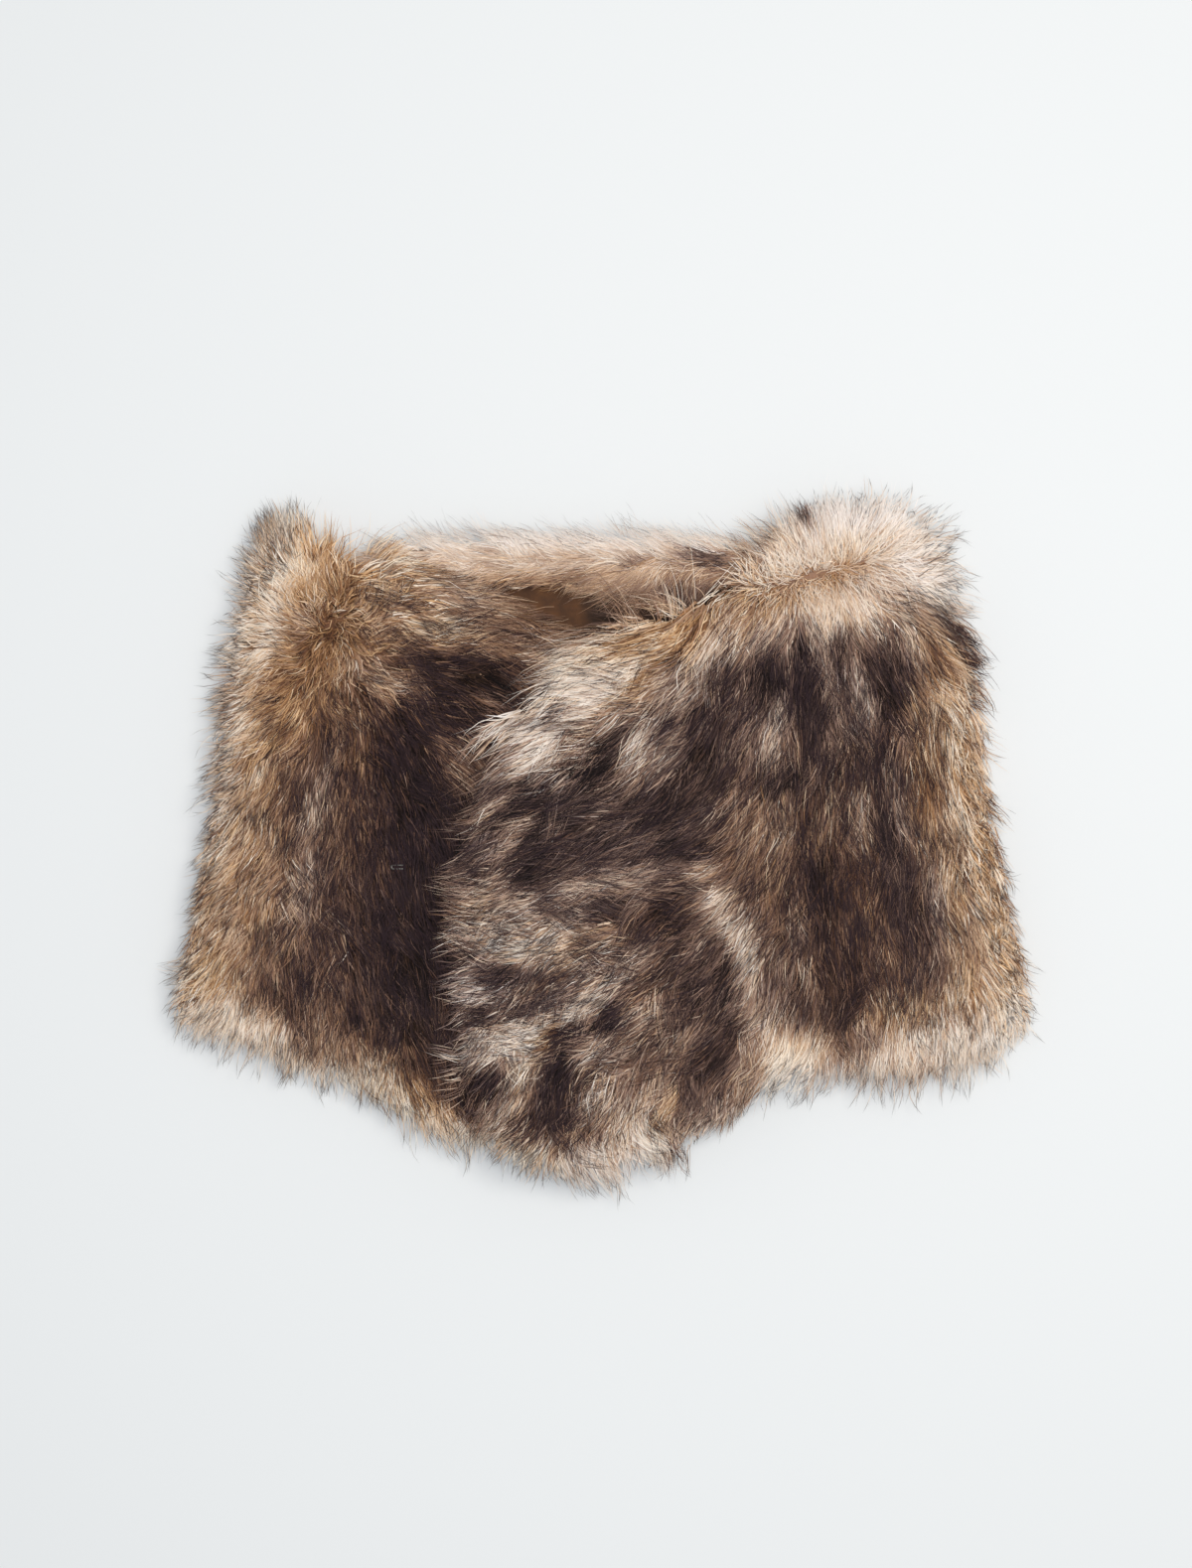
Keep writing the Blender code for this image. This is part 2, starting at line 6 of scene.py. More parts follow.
import bpy
import numpy as np
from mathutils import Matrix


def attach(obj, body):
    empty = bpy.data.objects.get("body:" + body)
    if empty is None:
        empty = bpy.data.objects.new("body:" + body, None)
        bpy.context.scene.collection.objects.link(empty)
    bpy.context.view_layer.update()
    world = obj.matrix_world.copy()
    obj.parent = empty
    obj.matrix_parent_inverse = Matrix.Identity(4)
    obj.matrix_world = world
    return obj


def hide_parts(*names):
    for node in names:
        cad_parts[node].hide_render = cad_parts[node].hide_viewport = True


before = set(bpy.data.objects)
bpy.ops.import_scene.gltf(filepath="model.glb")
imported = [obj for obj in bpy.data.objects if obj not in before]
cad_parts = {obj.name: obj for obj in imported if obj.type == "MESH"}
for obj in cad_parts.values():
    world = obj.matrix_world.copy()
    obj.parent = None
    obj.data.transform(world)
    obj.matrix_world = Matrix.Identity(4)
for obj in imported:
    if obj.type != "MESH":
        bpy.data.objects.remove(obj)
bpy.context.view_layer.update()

mm = 0.001
tableOrigin = np.array([1.17, 3.92])  # the tables' zero lies this far left of and below the frame's

# The cut: each panel's four edges, from neck to hem or from left to right.
leftSide = [(-171, 158), (-182, 130), (-190, 100), (-195, 65), (-198, 30), (-202, 0), (-209, -40),
            (-216, -70), (-219, -90)]
rightSide = [(183, 148), (184, 126), (191, 103), (198, 75), (200, 45), (205, 8), (211, -32),
             (217, -65), (220, -90)]
leftFrontCut = {
    "neck": [(-171, 158), (-150, 163), (-125, 154), (-90, 138), (-55, 120), (-25, 104), (12, 86), (52, 45)],
    "hem": [(-219, -90), (-190, -102), (-160, -114), (-128, -123), (-100, -144), (-70, -156),
            (-30, -151), (20, -142), (60, -125), (84, -108)],
    "left": leftSide,
    "right": [(52, 45), (50, 10), (57, -30), (72, -75), (84, -108)],
}
rightFrontCut = {
    "neck": [(-62, 64), (-40, 82), (-14, 103), (8, 120), (38, 128), (66, 144), (92, 166), (118, 174),
             (142, 175), (166, 166), (183, 148)],
    "hem": [(-66, -138), (-42, -160), (-5, -173), (20, -168), (37, -166), (60, -143), (86, -127),
            (120, -122), (150, -123), (184, -116), (207, -105), (220, -90)],
    "left": [(-62, 64), (-73, 40), (-81, 8), (-88, -30), (-88, -70), (-80, -106), (-66, -138)],
    "right": rightSide,
}
backCut = {
    "neck": [(-171, 158), (-125, 156), (-60, 156), (0, 156), (60, 156), (120, 152), (183, 148)],
    "hem": [(-219, -90), (-188, -84), (-158, -96), (-124, -105), (-94, -126), (-60, -136), (-10, -138),
            (24, -133), (56, -117), (84, -105), (120, -102), (150, -103), (184, -96), (204, -87),
            (220, -90)],
    "left": leftSide,
    "right": rightSide,
}
facingCut = {
    "neck": [(-112, 152), (-70, 156.5), (0, 157), (50, 156.5), (86, 152)],
    "hem": [(-106, 134), (-70, 127), (-35, 127), (0, 126), (40, 125), (80, 131)],
    "left": [(-112, 152), (-113, 143), (-106, 134)],
    "right": [(86, 152), (87, 142), (80, 131)],
}
liningCut = {
    "neck": [(-90, 147), (-50, 150), (0, 150), (40, 149), (72, 146)],
    "hem": [(-100, 132), (-62, 98), (-20, 86), (22, 86), (58, 102), (78, 130)],
    "left": [(-90, 147), (-97, 140), (-100, 132)],
    "right": [(72, 146), (77, 139), (78, 130)],
}

# The lie of the hair: x, y and the way it points, in degrees from +x.
leftFrontLie = [
    (-165, 155, 114), (-150, 152, 102), (-138, 150, 90), (-126, 152, 62), (-112, 146, 30), (-95, 137, -4),
    (-182, 128, 155), (-170, 130, 145), (-160, 120, 150), (-140, 130, 92), (-120, 126, 28),
    (-100, 118, -4), (-188, 98, 184), (-170, 105, 178), (-156, 104, 190), (-118, 105, -2), (-90, 112, -8),
    (-65, 104, -12), (-40, 96, -16), (-76, 127, -6), (-60, 120, 0), (-46, 112, -2), (-192, 68, 202),
    (-172, 78, 208), (-158, 84, 216), (-148, 76, 240), (-138, 90, 272), (-115, 86, -30), (-98, 90, -14),
    (-78, 86, -18), (-58, 84, -24), (-130, 68, -74), (-110, 62, -58), (-90, 62, -42), (-70, 62, -38),
    (-195, 38, 214), (-172, 42, 236), (-152, 44, 256), (-130, 40, -86), (-108, 34, -72), (-84, 32, -62),
    (-64, 30, -60), (-198, 8, 226), (-180, -8, 238), (-160, 2, 254), (-135, 2, -90), (-110, 0, -80),
    (-88, -6, -74), (-204, -32, 234), (-182, -46, 246), (-158, -34, 260), (-132, -40, -88),
    (-104, -40, -78), (-86, -60, -74), (-212, -72, 236), (-196, -84, 250), (-172, -82, 258),
    (-150, -92, 266), (-124, -86, -86), (-98, -92, -78), (-150, -112, 268), (-122, -120, -84),
    (-96, -134, -78), (-70, -148, -72), (-70, -110, -76), (-208, -94, 252), (-180, -104, 256),
]
rightFrontLie = [
    (95, 166, 106), (115, 170, 98), (135, 172, 80), (152, 166, 60), (168, 158, 34), (178, 148, 8),
    (182, 138, -16), (172, 140, -2), (158, 152, 34), (140, 152, 62), (124, 150, 82), (108, 146, 96),
    (90, 142, 112), (75, 142, 124), (60, 136, 122), (56, 131, -116), (45, 126, -122), (30, 120, -138),
    (16, 114, -160), (6, 108, -166), (-6, 104, -158), (-18, 100, -152), (70, 118, -106), (90, 118, -96),
    (106, 120, -88), (120, 126, -74), (136, 132, -54), (152, 136, -34), (167, 126, -40), (176, 117, -48),
    (186, 105, -46), (193, 92, -43), (199, 78, -47), (50, 110, -118), (40, 100, -138), (24, 99, -158),
    (5, 98, -170), (20, 88, -156), (0, 84, -163), (-22, 88, -148), (-40, 78, -142), (-60, 60, -132),
    (-66, 46, -132), (-40, 54, -146), (-15, 60, -146), (10, 65, -140), (30, 75, -128), (46, 86, -118),
    (62, 92, -110), (80, 96, -101), (100, 96, -92), (116, 96, -85), (132, 92, -74), (148, 88, -68),
    (162, 88, -62), (176, 78, -66), (187, 62, -66), (30, 54, -122), (50, 56, -118), (70, 56, -110),
    (90, 56, -98), (110, 60, -89), (130, 60, -82), (150, 60, -86), (166, 50, -88), (184, 38, -76),
    (197, 28, -66), (30, 36, -128), (10, 40, -132), (-10, 38, -140), (-30, 38, -144), (-52, 34, -140),
    (-66, 22, -142), (-74, 4, -152), (-58, 6, -144), (-40, 4, -150), (-20, 2, -160), (0, 10, -160),
    (20, 6, -156), (40, 2, -150), (60, 2, -132), (80, 2, -110), (100, 0, -96), (125, 0, -88),
    (150, 0, -85), (176, 0, -82), (198, 0, -70), (-80, -24, 178), (-60, -24, -176), (-28, -26, -164),
    (0, -22, -170), (28, -24, -168), (48, -16, -160), (52, -30, -174), (66, -36, -142), (76, -46, -128),
    (-82, -50, 180), (-60, -50, -174), (-40, -52, -168), (-15, -50, -160), (15, -50, -150),
    (40, -52, -136), (60, -60, -118), (-84, -76, 178), (-62, -76, -176), (-40, -76, -168),
    (-18, -76, -160), (10, -76, -148), (38, -80, -130), (60, -82, -114), (-78, -100, -170),
    (-56, -100, -164), (-38, -101, -166), (-24, -106, -140), (-34, -92, -170), (0, -100, -142),
    (26, -100, -134), (50, -104, -120), (-68, -118, -148), (-54, -130, -124), (-40, -124, -122),
    (-24, -122, -106), (-20, -142, -106), (-48, -150, -124), (-34, -160, -112), (-14, -164, -66),
    (0, -168, -48), (0, -140, -116), (14, -164, -84), (22, -150, -60), (28, -154, -60), (37, -158, -88),
    (48, -150, -108), (30, -130, -124), (52, -136, -122), (70, -120, -124), (82, -130, -130),
    (80, -72, -108), (90, -92, -104), (95, -112, -122), (112, -98, -98), (90, -28, -98), (110, -50, -92),
    (130, -48, -90), (150, -52, -87), (172, -48, -80), (192, -38, -74), (207, -48, -66), (214, -76, -64),
    (202, -92, -80), (180, -96, -88), (150, -96, -90), (130, -108, -90), (114, -118, -94),
    (160, -118, -92), (200, -108, -84),
]
facingLie = [
    (-108, 148, 172), (-90, 152, 168), (-60, 154, 170), (-30, 154, 172), (0, 154, 170), (30, 154, 172),
    (60, 153, 168), (84, 150, 170), (-100, 140, -168), (-70, 140, 178), (-40, 142, 176), (-10, 142, 172),
    (20, 142, 170), (50, 141, 172), (78, 140, 175), (-90, 132, -160), (-60, 130, -168), (-35, 130, -168),
    (-12, 130, -164), (10, 130, -146), (30, 130, -132), (50, 130, -128), (72, 133, -165),
]
flyawayLie = [(-100, 150, 146), (0, 150, 142), (90, 150, 136)]
neckWispLie = [(-100, 150, 160), (0, 150, 157), (90, 150, 154)]
neckCurlLie = [(6, 106, 106), (16, 106, 100), (26, 108, 94), (38, 112, 88), (50, 120, 84), (64, 128, 96)]

# Coat markings, each laid over those before it: x, y, half length, half width, the angle of the length in
# degrees, light (0 black-brown, 1 cream) and gold (0 rosy grey, 1 golden).
leftFrontMarks = [
    (-174, 160, 16, 12, 45, 0.78, 0.3), (-150, 135, 36, 26, 20, 0.62, 1.0),
    (-165, 148, 24, 5, 62, 0.98, 0.3), (-176, 154, 20, 4, 62, 0.6, 0.1),
    (-166, 138, 20, 8, 62, 1.02, 0.4), (-100, 130, 46, 13, -20, 0.64, 0.85),
    (-182, 60, 70, 15, 84, 0.66, 0.7), (-183, 100, 50, 5, 84, 0.98, 0.3),
    (-172, 112, 44, 7, 80, 0.84, 0.65), (-190, 30, 60, 5, 86, 0.86, 0.4),
    (-200, -30, 40, 6, 80, 0.9, 0.5), (-200, -50, 48, 16, 72, 0.66, 0.75),
    (-165, 30, 60, 18, 86, 0.58, 0.85), (-175, -40, 50, 16, 80, 0.54, 0.8),
    (-134, 88, 36, 24, 0, 0.46, 1.0), (-138, 88, 18, 13, 60, 0.34, 1.0),
    (-118, 58, 38, 18, -30, 0.56, 1.0), (-150, 60, 24, 16, 60, 0.56, 1.0),
    (-95, 108, 44, 12, -12, 0.64, 0.8), (-110, 76, 34, 14, -20, 0.58, 0.7),
    (-136, -10, 76, 28, 90, 0.29, 0.6), (-150, -30, 30, 8, 80, 0.5, 0.4),
    (-189, -48, 16, 6, 80, 0.48, 0.7), (-142, 22, 24, 6, 75, 0.5, 0.4), (-110, 20, 60, 16, -86, 0.3, 0.8),
    # The marks at (-88, -8), (-62, 64), (-82, 90), (-60, 90), (-60, 80), (-98, -74) and (-70, -125) darken
    # the strip beside the right front's edge: dark hair with painted shade cast by the right front.
    (-140, -75, 34, 30, 0, 0.26, 0.6), (-88, -8, 80, 22, -84, 0.02, 0.5),
    (-62, 64, 30, 14, -40, 0.12, 0.5), (-82, 90, 10, 4, -24, 0.16, 0.5), (-60, 90, 28, 6, -16, 0.14, 0.6),
    (-60, 80, 24, 7, -20, 0.04, 0.5), (-98, -74, 48, 24, -80, 0.08, 0.45),
    (-70, -125, 34, 18, -40, 0.14, 0.6), (-100, -110, 30, 8, -40, 0.22, 0.7),
    (-137, 108, 8, 6, 60, 0.5, 1.0), (-126, 130, 9, 5, 60, 0.42, 1.0), (-154, 62, 9, 5, 70, 0.42, 1.0),
    (-150, 112, 9, 4, 60, 0.6, 0.5), (-128, 100, 12, 6, -20, 0.44, 0.9), (-112, 82, 20, 6, -20, 0.6, 0.6),
    (-146, 82, 20, 10, 60, 0.44, 1.0), (-168, 104, 20, 6, 70, 0.9, 0.6),
    (-108, 142, 18, 7, -20, 0.8, 0.8), (-150, 150, 16, 8, 90, 0.74, 0.9),
    (-133, 152, 10, 8, 70, 0.62, 0.95), (-70, 132, 16, 3, -22, 0.28, 0.2),
    (-96, 141, 20, 5, -26, 0.76, 0.8), (-62, 122, 26, 6, -10, 0.62, 0.5),
    (-95, 116, 10, 4, -10, 0.38, 0.7), (-62, 112, 14, 5, -12, 0.5, 0.6),
    (-45, 104, 18, 5, -16, 0.28, 0.6), (-214, -80, 14, 8, 70, 0.92, 0.55),
    (-198, -72, 16, 11, 60, 0.66, 1.0), (-190, -92, 28, 10, -14, 0.94, 0.5),
    (-168, -104, 24, 10, -26, 0.9, 0.55), (-140, -122, 28, 11, -14, 1.0, 0.5),
    (-112, -122, 24, 10, -40, 0.88, 0.75), (-138, -106, 16, 6, -10, 0.44, 0.6),
    (-85, -142, 22, 9, -24, 0.8, 0.8), (-62, -152, 20, 9, -8, 0.95, 0.7),
    (-92, -126, 14, 6, -40, 0.46, 0.95),
]
rightFrontMarks = [
    # the pale neck roll, its parting and the fan of long hair left of it
    (34, 118, 56, 10, 32, 0.76, 0.6), (130, 155, 56, 22, -4, 0.98, 0.2),
    (132, 147, 20, 9, 12, 0.86, 0.95), (78, 142, 28, 14, 20, 0.92, 0.5),
    (160, 136, 28, 12, -24, 1.05, 0.1), (118, 133, 28, 5, 20, 0.46, 1.0), (90, 122, 12, 5, 24, 0.46, 1.0),
    (126, 168, 50, 9, -4, 1.05, 0.0), (112, 116, 40, 12, 6, 0.84, 0.6), (66, 108, 26, 14, 50, 0.64, 0.85),
    (102, 102, 20, 6, 20, 0.88, 0.5), (88, 102, 20, 8, 20, 0.66, 0.3), (46, 108, 26, 9, 20, 0.62, 0.9),
    (80, 150, 20, 8, 30, 0.72, 0.5), (102, 168, 9, 4, 120, 0.4, 0.1), (20, 96, 34, 9, 12, 0.8, 0.75),
    (-22, 74, 36, 7, 26, 1.1, 0.4), (-14, 90, 20, 5, 18, 0.96, 0.6), (48, 100, 14, 8, 50, 0.5, 0.95),
    (14, 98, 24, 6, 14, 0.52, 0.95), (-38, 82, 20, 5, 34, 0.92, 0.4), (-41, 45, 28, 12, 38, 1.1, 0.3),
    (-56, 64, 24, 7, 46, 0.92, 0.15), (-28, 57, 16, 4, 34, 0.34, 0.1), (2, 42, 18, 5, 42, 0.0, 0.15),
    # The mark at (20, 80) is painted shade along the golden valley that runs through the fan.
    (-58, 34, 10, 4, 40, 0.1, 0.2), (-12, 28, 18, 4, 34, 0.04, 0.15), (20, 80, 30, 5, 40, 0.36, 1.0),
    (6, 60, 18, 5, 44, 0.66, 0.35), (28, 62, 12, 4, 60, 0.2, 0.15), (-52, 30, 12, 4, 44, 0.16, 0.2),
    (44, 74, 26, 6, 54, 0.74, 0.35), (20, 42, 20, 5, 62, 0.72, 0.35), (46, 56, 20, 4, 76, 0.06, 0.2),
    (56, 90, 24, 9, 68, 0.6, 0.4), (36, 44, 20, 6, 66, 0.7, 0.35), (59, 55, 14, 6, 72, 0.62, 0.3),
    (28, 76, 14, 6, 50, 0.6, 0.5), (-6, 69, 17, 5, 36, 1.1, 0.35), (50, 78, 14, 5, 60, 0.56, 0.4),
    (140, 82, 12, 5, -76, 0.4, 0.3), (-40, 50, 15, 7, 36, 1.1, 0.3), (26, 33, 12, 7, 60, 0.72, 0.3),
    (31, 57, 12, 5, 58, 0.2, 0.2), (36, 82, 8, 4, 40, 0.36, 0.3), (14, 40, 18, 4, 62, 0.58, 0.4),
    # right shoulder: rosy streaks and the dark tufts along the fold
    (154, 116, 34, 14, -42, 0.74, 0.4), (170, 100, 26, 6, -40, 0.52, 0.5),
    (188, 102, 24, 5, -46, 0.12, 0.1), (196, 86, 20, 4, -46, 0.3, 0.3), (172, 128, 24, 9, -42, 1.05, 0.1),
    (148, 105, 22, 9, -44, 0.9, 0.45), (196, 96, 12, 4, -48, 0.3, 0.1),
    # dark saddle with its pale streaks
    (112, 76, 48, 18, 4, 0.08, 0.25), (70, 66, 22, 11, 50, 0.12, 0.3), (50, 60, 20, 5, 62, 0.14, 0.3),
    (48, 42, 26, 7, 72, 0.1, 0.3), (106, 64, 30, 7, 88, 0.08, 0.3), (78, 66, 18, 6, 70, 0.12, 0.3),
    (136, 90, 14, 5, -30, 0.12, 0.35), (100, 96, 10, 4, 110, 0.16, 0.2), (119, 98, 9, 3, 100, 0.16, 0.2),
    (150, 76, 30, 7, -82, 0.1, 0.4), (141, 48, 18, 6, 80, 0.14, 0.45), (84, 86, 10, 4, 70, 0.16, 0.3),
    (128, 96, 8, 3, 100, 0.44, 0.4), (86, 54, 20, 5, 74, 0.6, 0.25), (72, 52, 16, 5, 62, 0.4, 0.35),
    (92, 96, 12, 3, 96, 0.46, 0.3), (110, 98, 10, 3, 96, 0.5, 0.3), (116, 78, 22, 4, 112, 0.5, 0.35),
    (131, 72, 18, 5, 108, 0.66, 0.2), (126, 54, 14, 6, 96, 0.46, 0.3), (68, 68, 12, 3, 70, 0.46, 0.4),
    (158, 70, 12, 4, 88, 0.44, 0.8),
    # tan flank along the right fold
    (176, 66, 44, 12, 96, 0.62, 0.85), (186, 30, 60, 12, 100, 0.68, 0.85),
    (190, 60, 24, 5, 108, 0.8, 0.7), (162, 30, 30, 8, 92, 0.46, 0.95), (196, -20, 50, 9, 104, 0.72, 0.85),
    (205, -66, 34, 9, 106, 0.74, 0.9), (176, -24, 34, 9, 98, 0.5, 0.85), (170, 92, 12, 5, -60, 0.34, 0.8),
    (168, -30, 18, 5, 96, 0.54, 0.2),
    # dark middle
    (10, 16, 52, 18, 14, 0.14, 0.25), (-60, 6, 40, 9, 70, 0.16, 0.25), (-44, 22, 18, 6, 30, 0.12, 0.25),
    (-14, 34, 26, 7, 36, 0.12, 0.25), (-32, 24, 24, 7, 26, 0.16, 0.2), (10, 0, 50, 14, 2, 0.17, 0.2),
    (-34, -6, 20, 7, 78, 0.09, 0.2), (-66, 24, 18, 10, 60, 0.12, 0.2), (42, 22, 22, 9, 20, 0.12, 0.3),
    (36, -8, 22, 8, 10, 0.17, 0.25), (-46, 40, 10, 3, 30, 0.26, 0.3), (68, 20, 20, 9, 60, 0.18, 0.5),
    (20, 34, 8, 4, 60, 0.3, 0.4), (-34, 19, 30, 6, 20, 0.06, 0.2), (-60, 12, 14, 4, 44, 0.44, 0.5),
    (-48, 2, 16, 5, 44, 0.54, 0.45), (-64, -2, 14, 8, 30, 0.28, 0.1), (-54, 34, 18, 8, 44, 0.44, 0.3),
    # mottled, rosy lower part
    (-52, -38, 28, 16, 0, 0.54, 0.4), (-10, -22, 32, 4, 12, 0.62, 0.25), (14, -16, 14, 3, -4, 0.52, 0.3),
    (0, -33, 26, 5, 4, 0.32, 0.1), (34, -40, 26, 12, 14, 0.06, 0.55), (-34, -59, 28, 10, 14, 1.0, 0.45),
    (-44, -70, 16, 5, 10, 0.18, 0.1), (-53, -55, 8, 3, 20, 0.78, 0.5), (-65, -34, 10, 5, 10, 0.6, 0.6),
    (-8, -50, 22, 7, 24, 0.42, 0.55), (10, -62, 24, 6, 34, 0.48, 0.4), (-6, -66, 16, 6, 24, 0.5, 0.3),
    (-74, -74, 14, 7, 0, 0.46, 0.0), (-68, -62, 14, 6, 10, 0.2, 0.1), (-52, -76, 18, 4, 10, 0.48, 0.1),
    (-50, -66, 13, 4, 14, 0.18, 0.2), (-34, -82, 18, 4, 20, 0.26, 0.1), (-10, -83, 20, 6, 30, 0.78, 0.35),
    (-28, -70, 14, 4, 26, 0.4, 0.6), (18, -92, 32, 12, 48, 0.42, 0.45), (4, -90, 13, 4, 78, 0.14, 0.2),
    (-6, -106, 14, 6, 40, 0.5, 0.35), (26, -66, 14, 5, 50, 0.26, 0.5), (-78, -96, 16, 8, 20, 0.3, 0.1),
    # pale tuft, its swirl and the gaps under it, dark with painted shade
    (-54, -103, 28, 8, 18, 0.94, 0.35), (-44, -93, 16, 3, 20, 0.66, 0.35),
    (-42, -117, 16, 5, 32, 0.78, 0.65), (-26, -98, 9, 5, 30, 0.36, 1.0), (-68, -108, 14, 3, 24, 0.5, 0.1),
    (-60, -130, 16, 8, 62, 0.06, 0.2), (-24, -122, 22, 6, 84, 0.04, 0.2),
    (-20, -142, 18, 10, 60, 0.12, 0.5), (-40, -128, 18, 4, 62, 0.56, 0.5),
    (-32, -146, 14, 8, 56, 0.14, 0.4), (-4, -128, 9, 4, 60, 0.78, 0.4), (10, -122, 18, 5, 56, 0.5, 0.4),
    # dark strip, the pale ridge beside it and the brown right of that
    (50, -74, 46, 14, 84, 0.21, 0.35), (60, -84, 26, 8, 86, 0.15, 0.3), (54, -112, 24, 9, 72, 0.16, 0.4),
    (34, -108, 20, 8, 56, 0.36, 0.5), (52, -14, 7, 4, 10, 0.76, 0.5), (58, -30, 10, 8, 20, 0.6, 0.35),
    (67, -46, 14, 6, -50, 0.7, 0.35), (74, -20, 20, 8, -80, 0.18, 0.5), (75, -71, 24, 6, -84, 0.74, 0.4),
    (89, -56, 14, 5, -80, 0.22, 0.5), (-30, -21, 12, 6, 10, 0.2, 0.2), (82, -94, 14, 7, -70, 0.6, 0.4),
    (92, -64, 20, 6, -70, 0.36, 0.35), (88, -22, 34, 12, -80, 0.36, 0.65),
    (80, 10, 30, 14, 60, 0.42, 0.6), (100, 8, 26, 10, 90, 0.34, 0.65), (126, 20, 26, 10, 88, 0.4, 0.45),
    (92, 30, 14, 8, 20, 0.08, 0.3), (120, 36, 16, 8, 10, 0.13, 0.35), (130, -30, 60, 24, 90, 0.25, 0.8),
    (108, -22, 14, 6, 90, 0.08, 0.4), (116, -46, 28, 8, 92, 0.12, 0.6), (124, -90, 20, 8, 84, 0.13, 0.5),
    (150, -24, 26, 7, 98, 0.13, 0.35), (144, 4, 20, 6, 92, 0.14, 0.3), (140, -62, 26, 8, 86, 0.28, 0.6),
    (162, -44, 20, 6, 100, 0.2, 0.5), (130, 12, 16, 4, 80, 0.42, 0.4), (150, 12, 16, 4, 100, 0.34, 0.3),
    (100, -56, 20, 5, -84, 0.34, 0.45),
    # pale hem on the right and the dark point of the front
    (92, -114, 20, 12, 30, 1.02, 1.0), (84, -130, 22, 9, 30, 1.05, 0.4), (88, -119, 22, 10, 30, 1.2, 0.6),
    (122, -120, 26, 9, 0, 0.8, 0.3), (152, -86, 20, 10, 10, 0.58, 0.9), (172, -84, 20, 8, 0, 0.56, 0.75),
    (164, -106, 34, 12, 4, 0.84, 0.5), (184, -104, 24, 12, 10, 0.86, 0.45),
    (202, -96, 22, 14, 30, 0.96, 0.45), (186, -72, 16, 9, 100, 0.64, 0.85),
    (200, -74, 16, 6, 100, 0.78, 0.8), (62, -146, 12, 6, 40, 0.8, 0.3), (135, -100, 8, 6, 90, 0.44, 0.4),
    (-44, -154, 26, 12, -34, 0.7, 0.45), (-2, -164, 34, 12, -4, 0.82, 0.12),
    (-34, -161, 18, 6, -24, 0.84, 0.75), (-36, -146, 14, 6, -30, 0.22, 0.5),
    (-14, -148, 16, 5, 40, 0.4, 0.55), (10, -148, 18, 10, 60, 0.72, 0.5),
    (27, -152, 12, 8, 120, 1.15, 0.45), (31, -136, 12, 4, 66, 0.62, 0.9),
    (38, -158, 16, 4, 84, 0.26, 0.3), (46, -140, 16, 6, 60, 0.42, 0.4), (52, -148, 12, 7, 40, 0.66, 0.3),
    (62, -138, 18, 8, 40, 0.64, 0.3), (74, -120, 16, 6, 60, 0.46, 0.5), (28, -122, 16, 6, 56, 0.48, 0.5),
]
facingMarks = [
    (-60, 145, 70, 11, 0, 0.78, 0.38), (14, 144, 50, 8, 0, 0.72, 0.38), (-20, 153, 100, 5, 0, 1.0, 0.1),
    (-78, 132, 24, 4, -14, 0.5, 0.45), (-35, 131, 26, 4, 0, 0.5, 0.7), (10, 134, 34, 5, 4, 0.52, 0.6),
    (14, 142, 12, 2, 15, 0.42, 0.3), (50, 144, 14, 4, -20, 0.28, 0.1), (72, 140, 14, 7, -20, 0.6, 0.6),
    # The mark at (34, 121) is painted shade: the facing's hair dark where it hangs into the hollow of the
    # neck.
    (34, 121, 36, 8, 6, 0.1, 0.15), (36, 138, 18, 4, 6, 0.62, 0.5),
]

# The tables below are laid out in the same way, with one value. Share of the hairs with burnt dark tips:
leftFrontTips = [
    (-120, -20, 90, 40, 90, 0.5), (-150, 118, 46, 40, 0, 0.2), (-170, 154, 30, 12, 62, 0.98),
    (-86, 110, 36, 18, -20, 0.55), (-90, 20, 90, 24, 90, 0.55), (-76, 132, 18, 4, -24, 0.6),
]
rightFrontTips = [
    (100, 66, 70, 34, 0, 0.45), (120, 150, 60, 26, 0, 0.08), (-10, 76, 60, 30, 25, 0.25),
    (-30, -90, 60, 60, 0, 0.5), (130, -30, 60, 50, 90, 0.45), (96, 172, 10, 6, 0, 0.9),
    (190, 98, 30, 7, -52, 0.9), (178, 138, 10, 12, 0, 0.25), (150, -122, 80, 18, 0, 0.25),
    (100, -118, 30, 16, 0, 0.2),
]
facingTips = [(54, 142, 14, 5, 0, 0.6), (-60, 129, 40, 5, 0, 0.45)]
# the hairs' reach, against the piece's own
leftFrontReach = [
    (-142, 108, 42, 34, 80, 0.62), (-166, 156, 22, 14, 45, 1.2), (-196, 60, 80, 14, 84, 0.8),
    (-62, 120, 30, 12, -30, 1.2), (-125, -122, 110, 20, -20, 0.96),
]
rightFrontReach = [
    (120, 160, 60, 18, 0, 0.7), (30, 120, 60, 12, 27, 0.75), (120, 134, 40, 10, 8, 0.8),
    (-10, 80, 60, 16, 22, 1.05), (-24, 98, 16, 8, 30, 0.7), (0, -70, 80, 50, 0, 0.85),
    (206, 0, 90, 18, 96, 0.75), (150, -112, 64, 20, 6, 0.96), (208, -96, 22, 16, 30, 1.05),
    (70, -128, 20, 12, 32, 1.1), (54, -140, 20, 12, 36, 0.65), (184, 124, 18, 12, 90, 0.66),
    (0, -160, 60, 16, 0, 0.98), (190, 66, 20, 14, 100, 0.6), (80, 156, 28, 12, 40, 0.55),
    (188, 98, 26, 14, -48, 1.15),
]
facingReach = [(-60, 128, 50, 8, 0, 0.5), (-14, 128, 16, 8, 0, 0.35), (34, 128, 30, 6, 0, 0.6)]
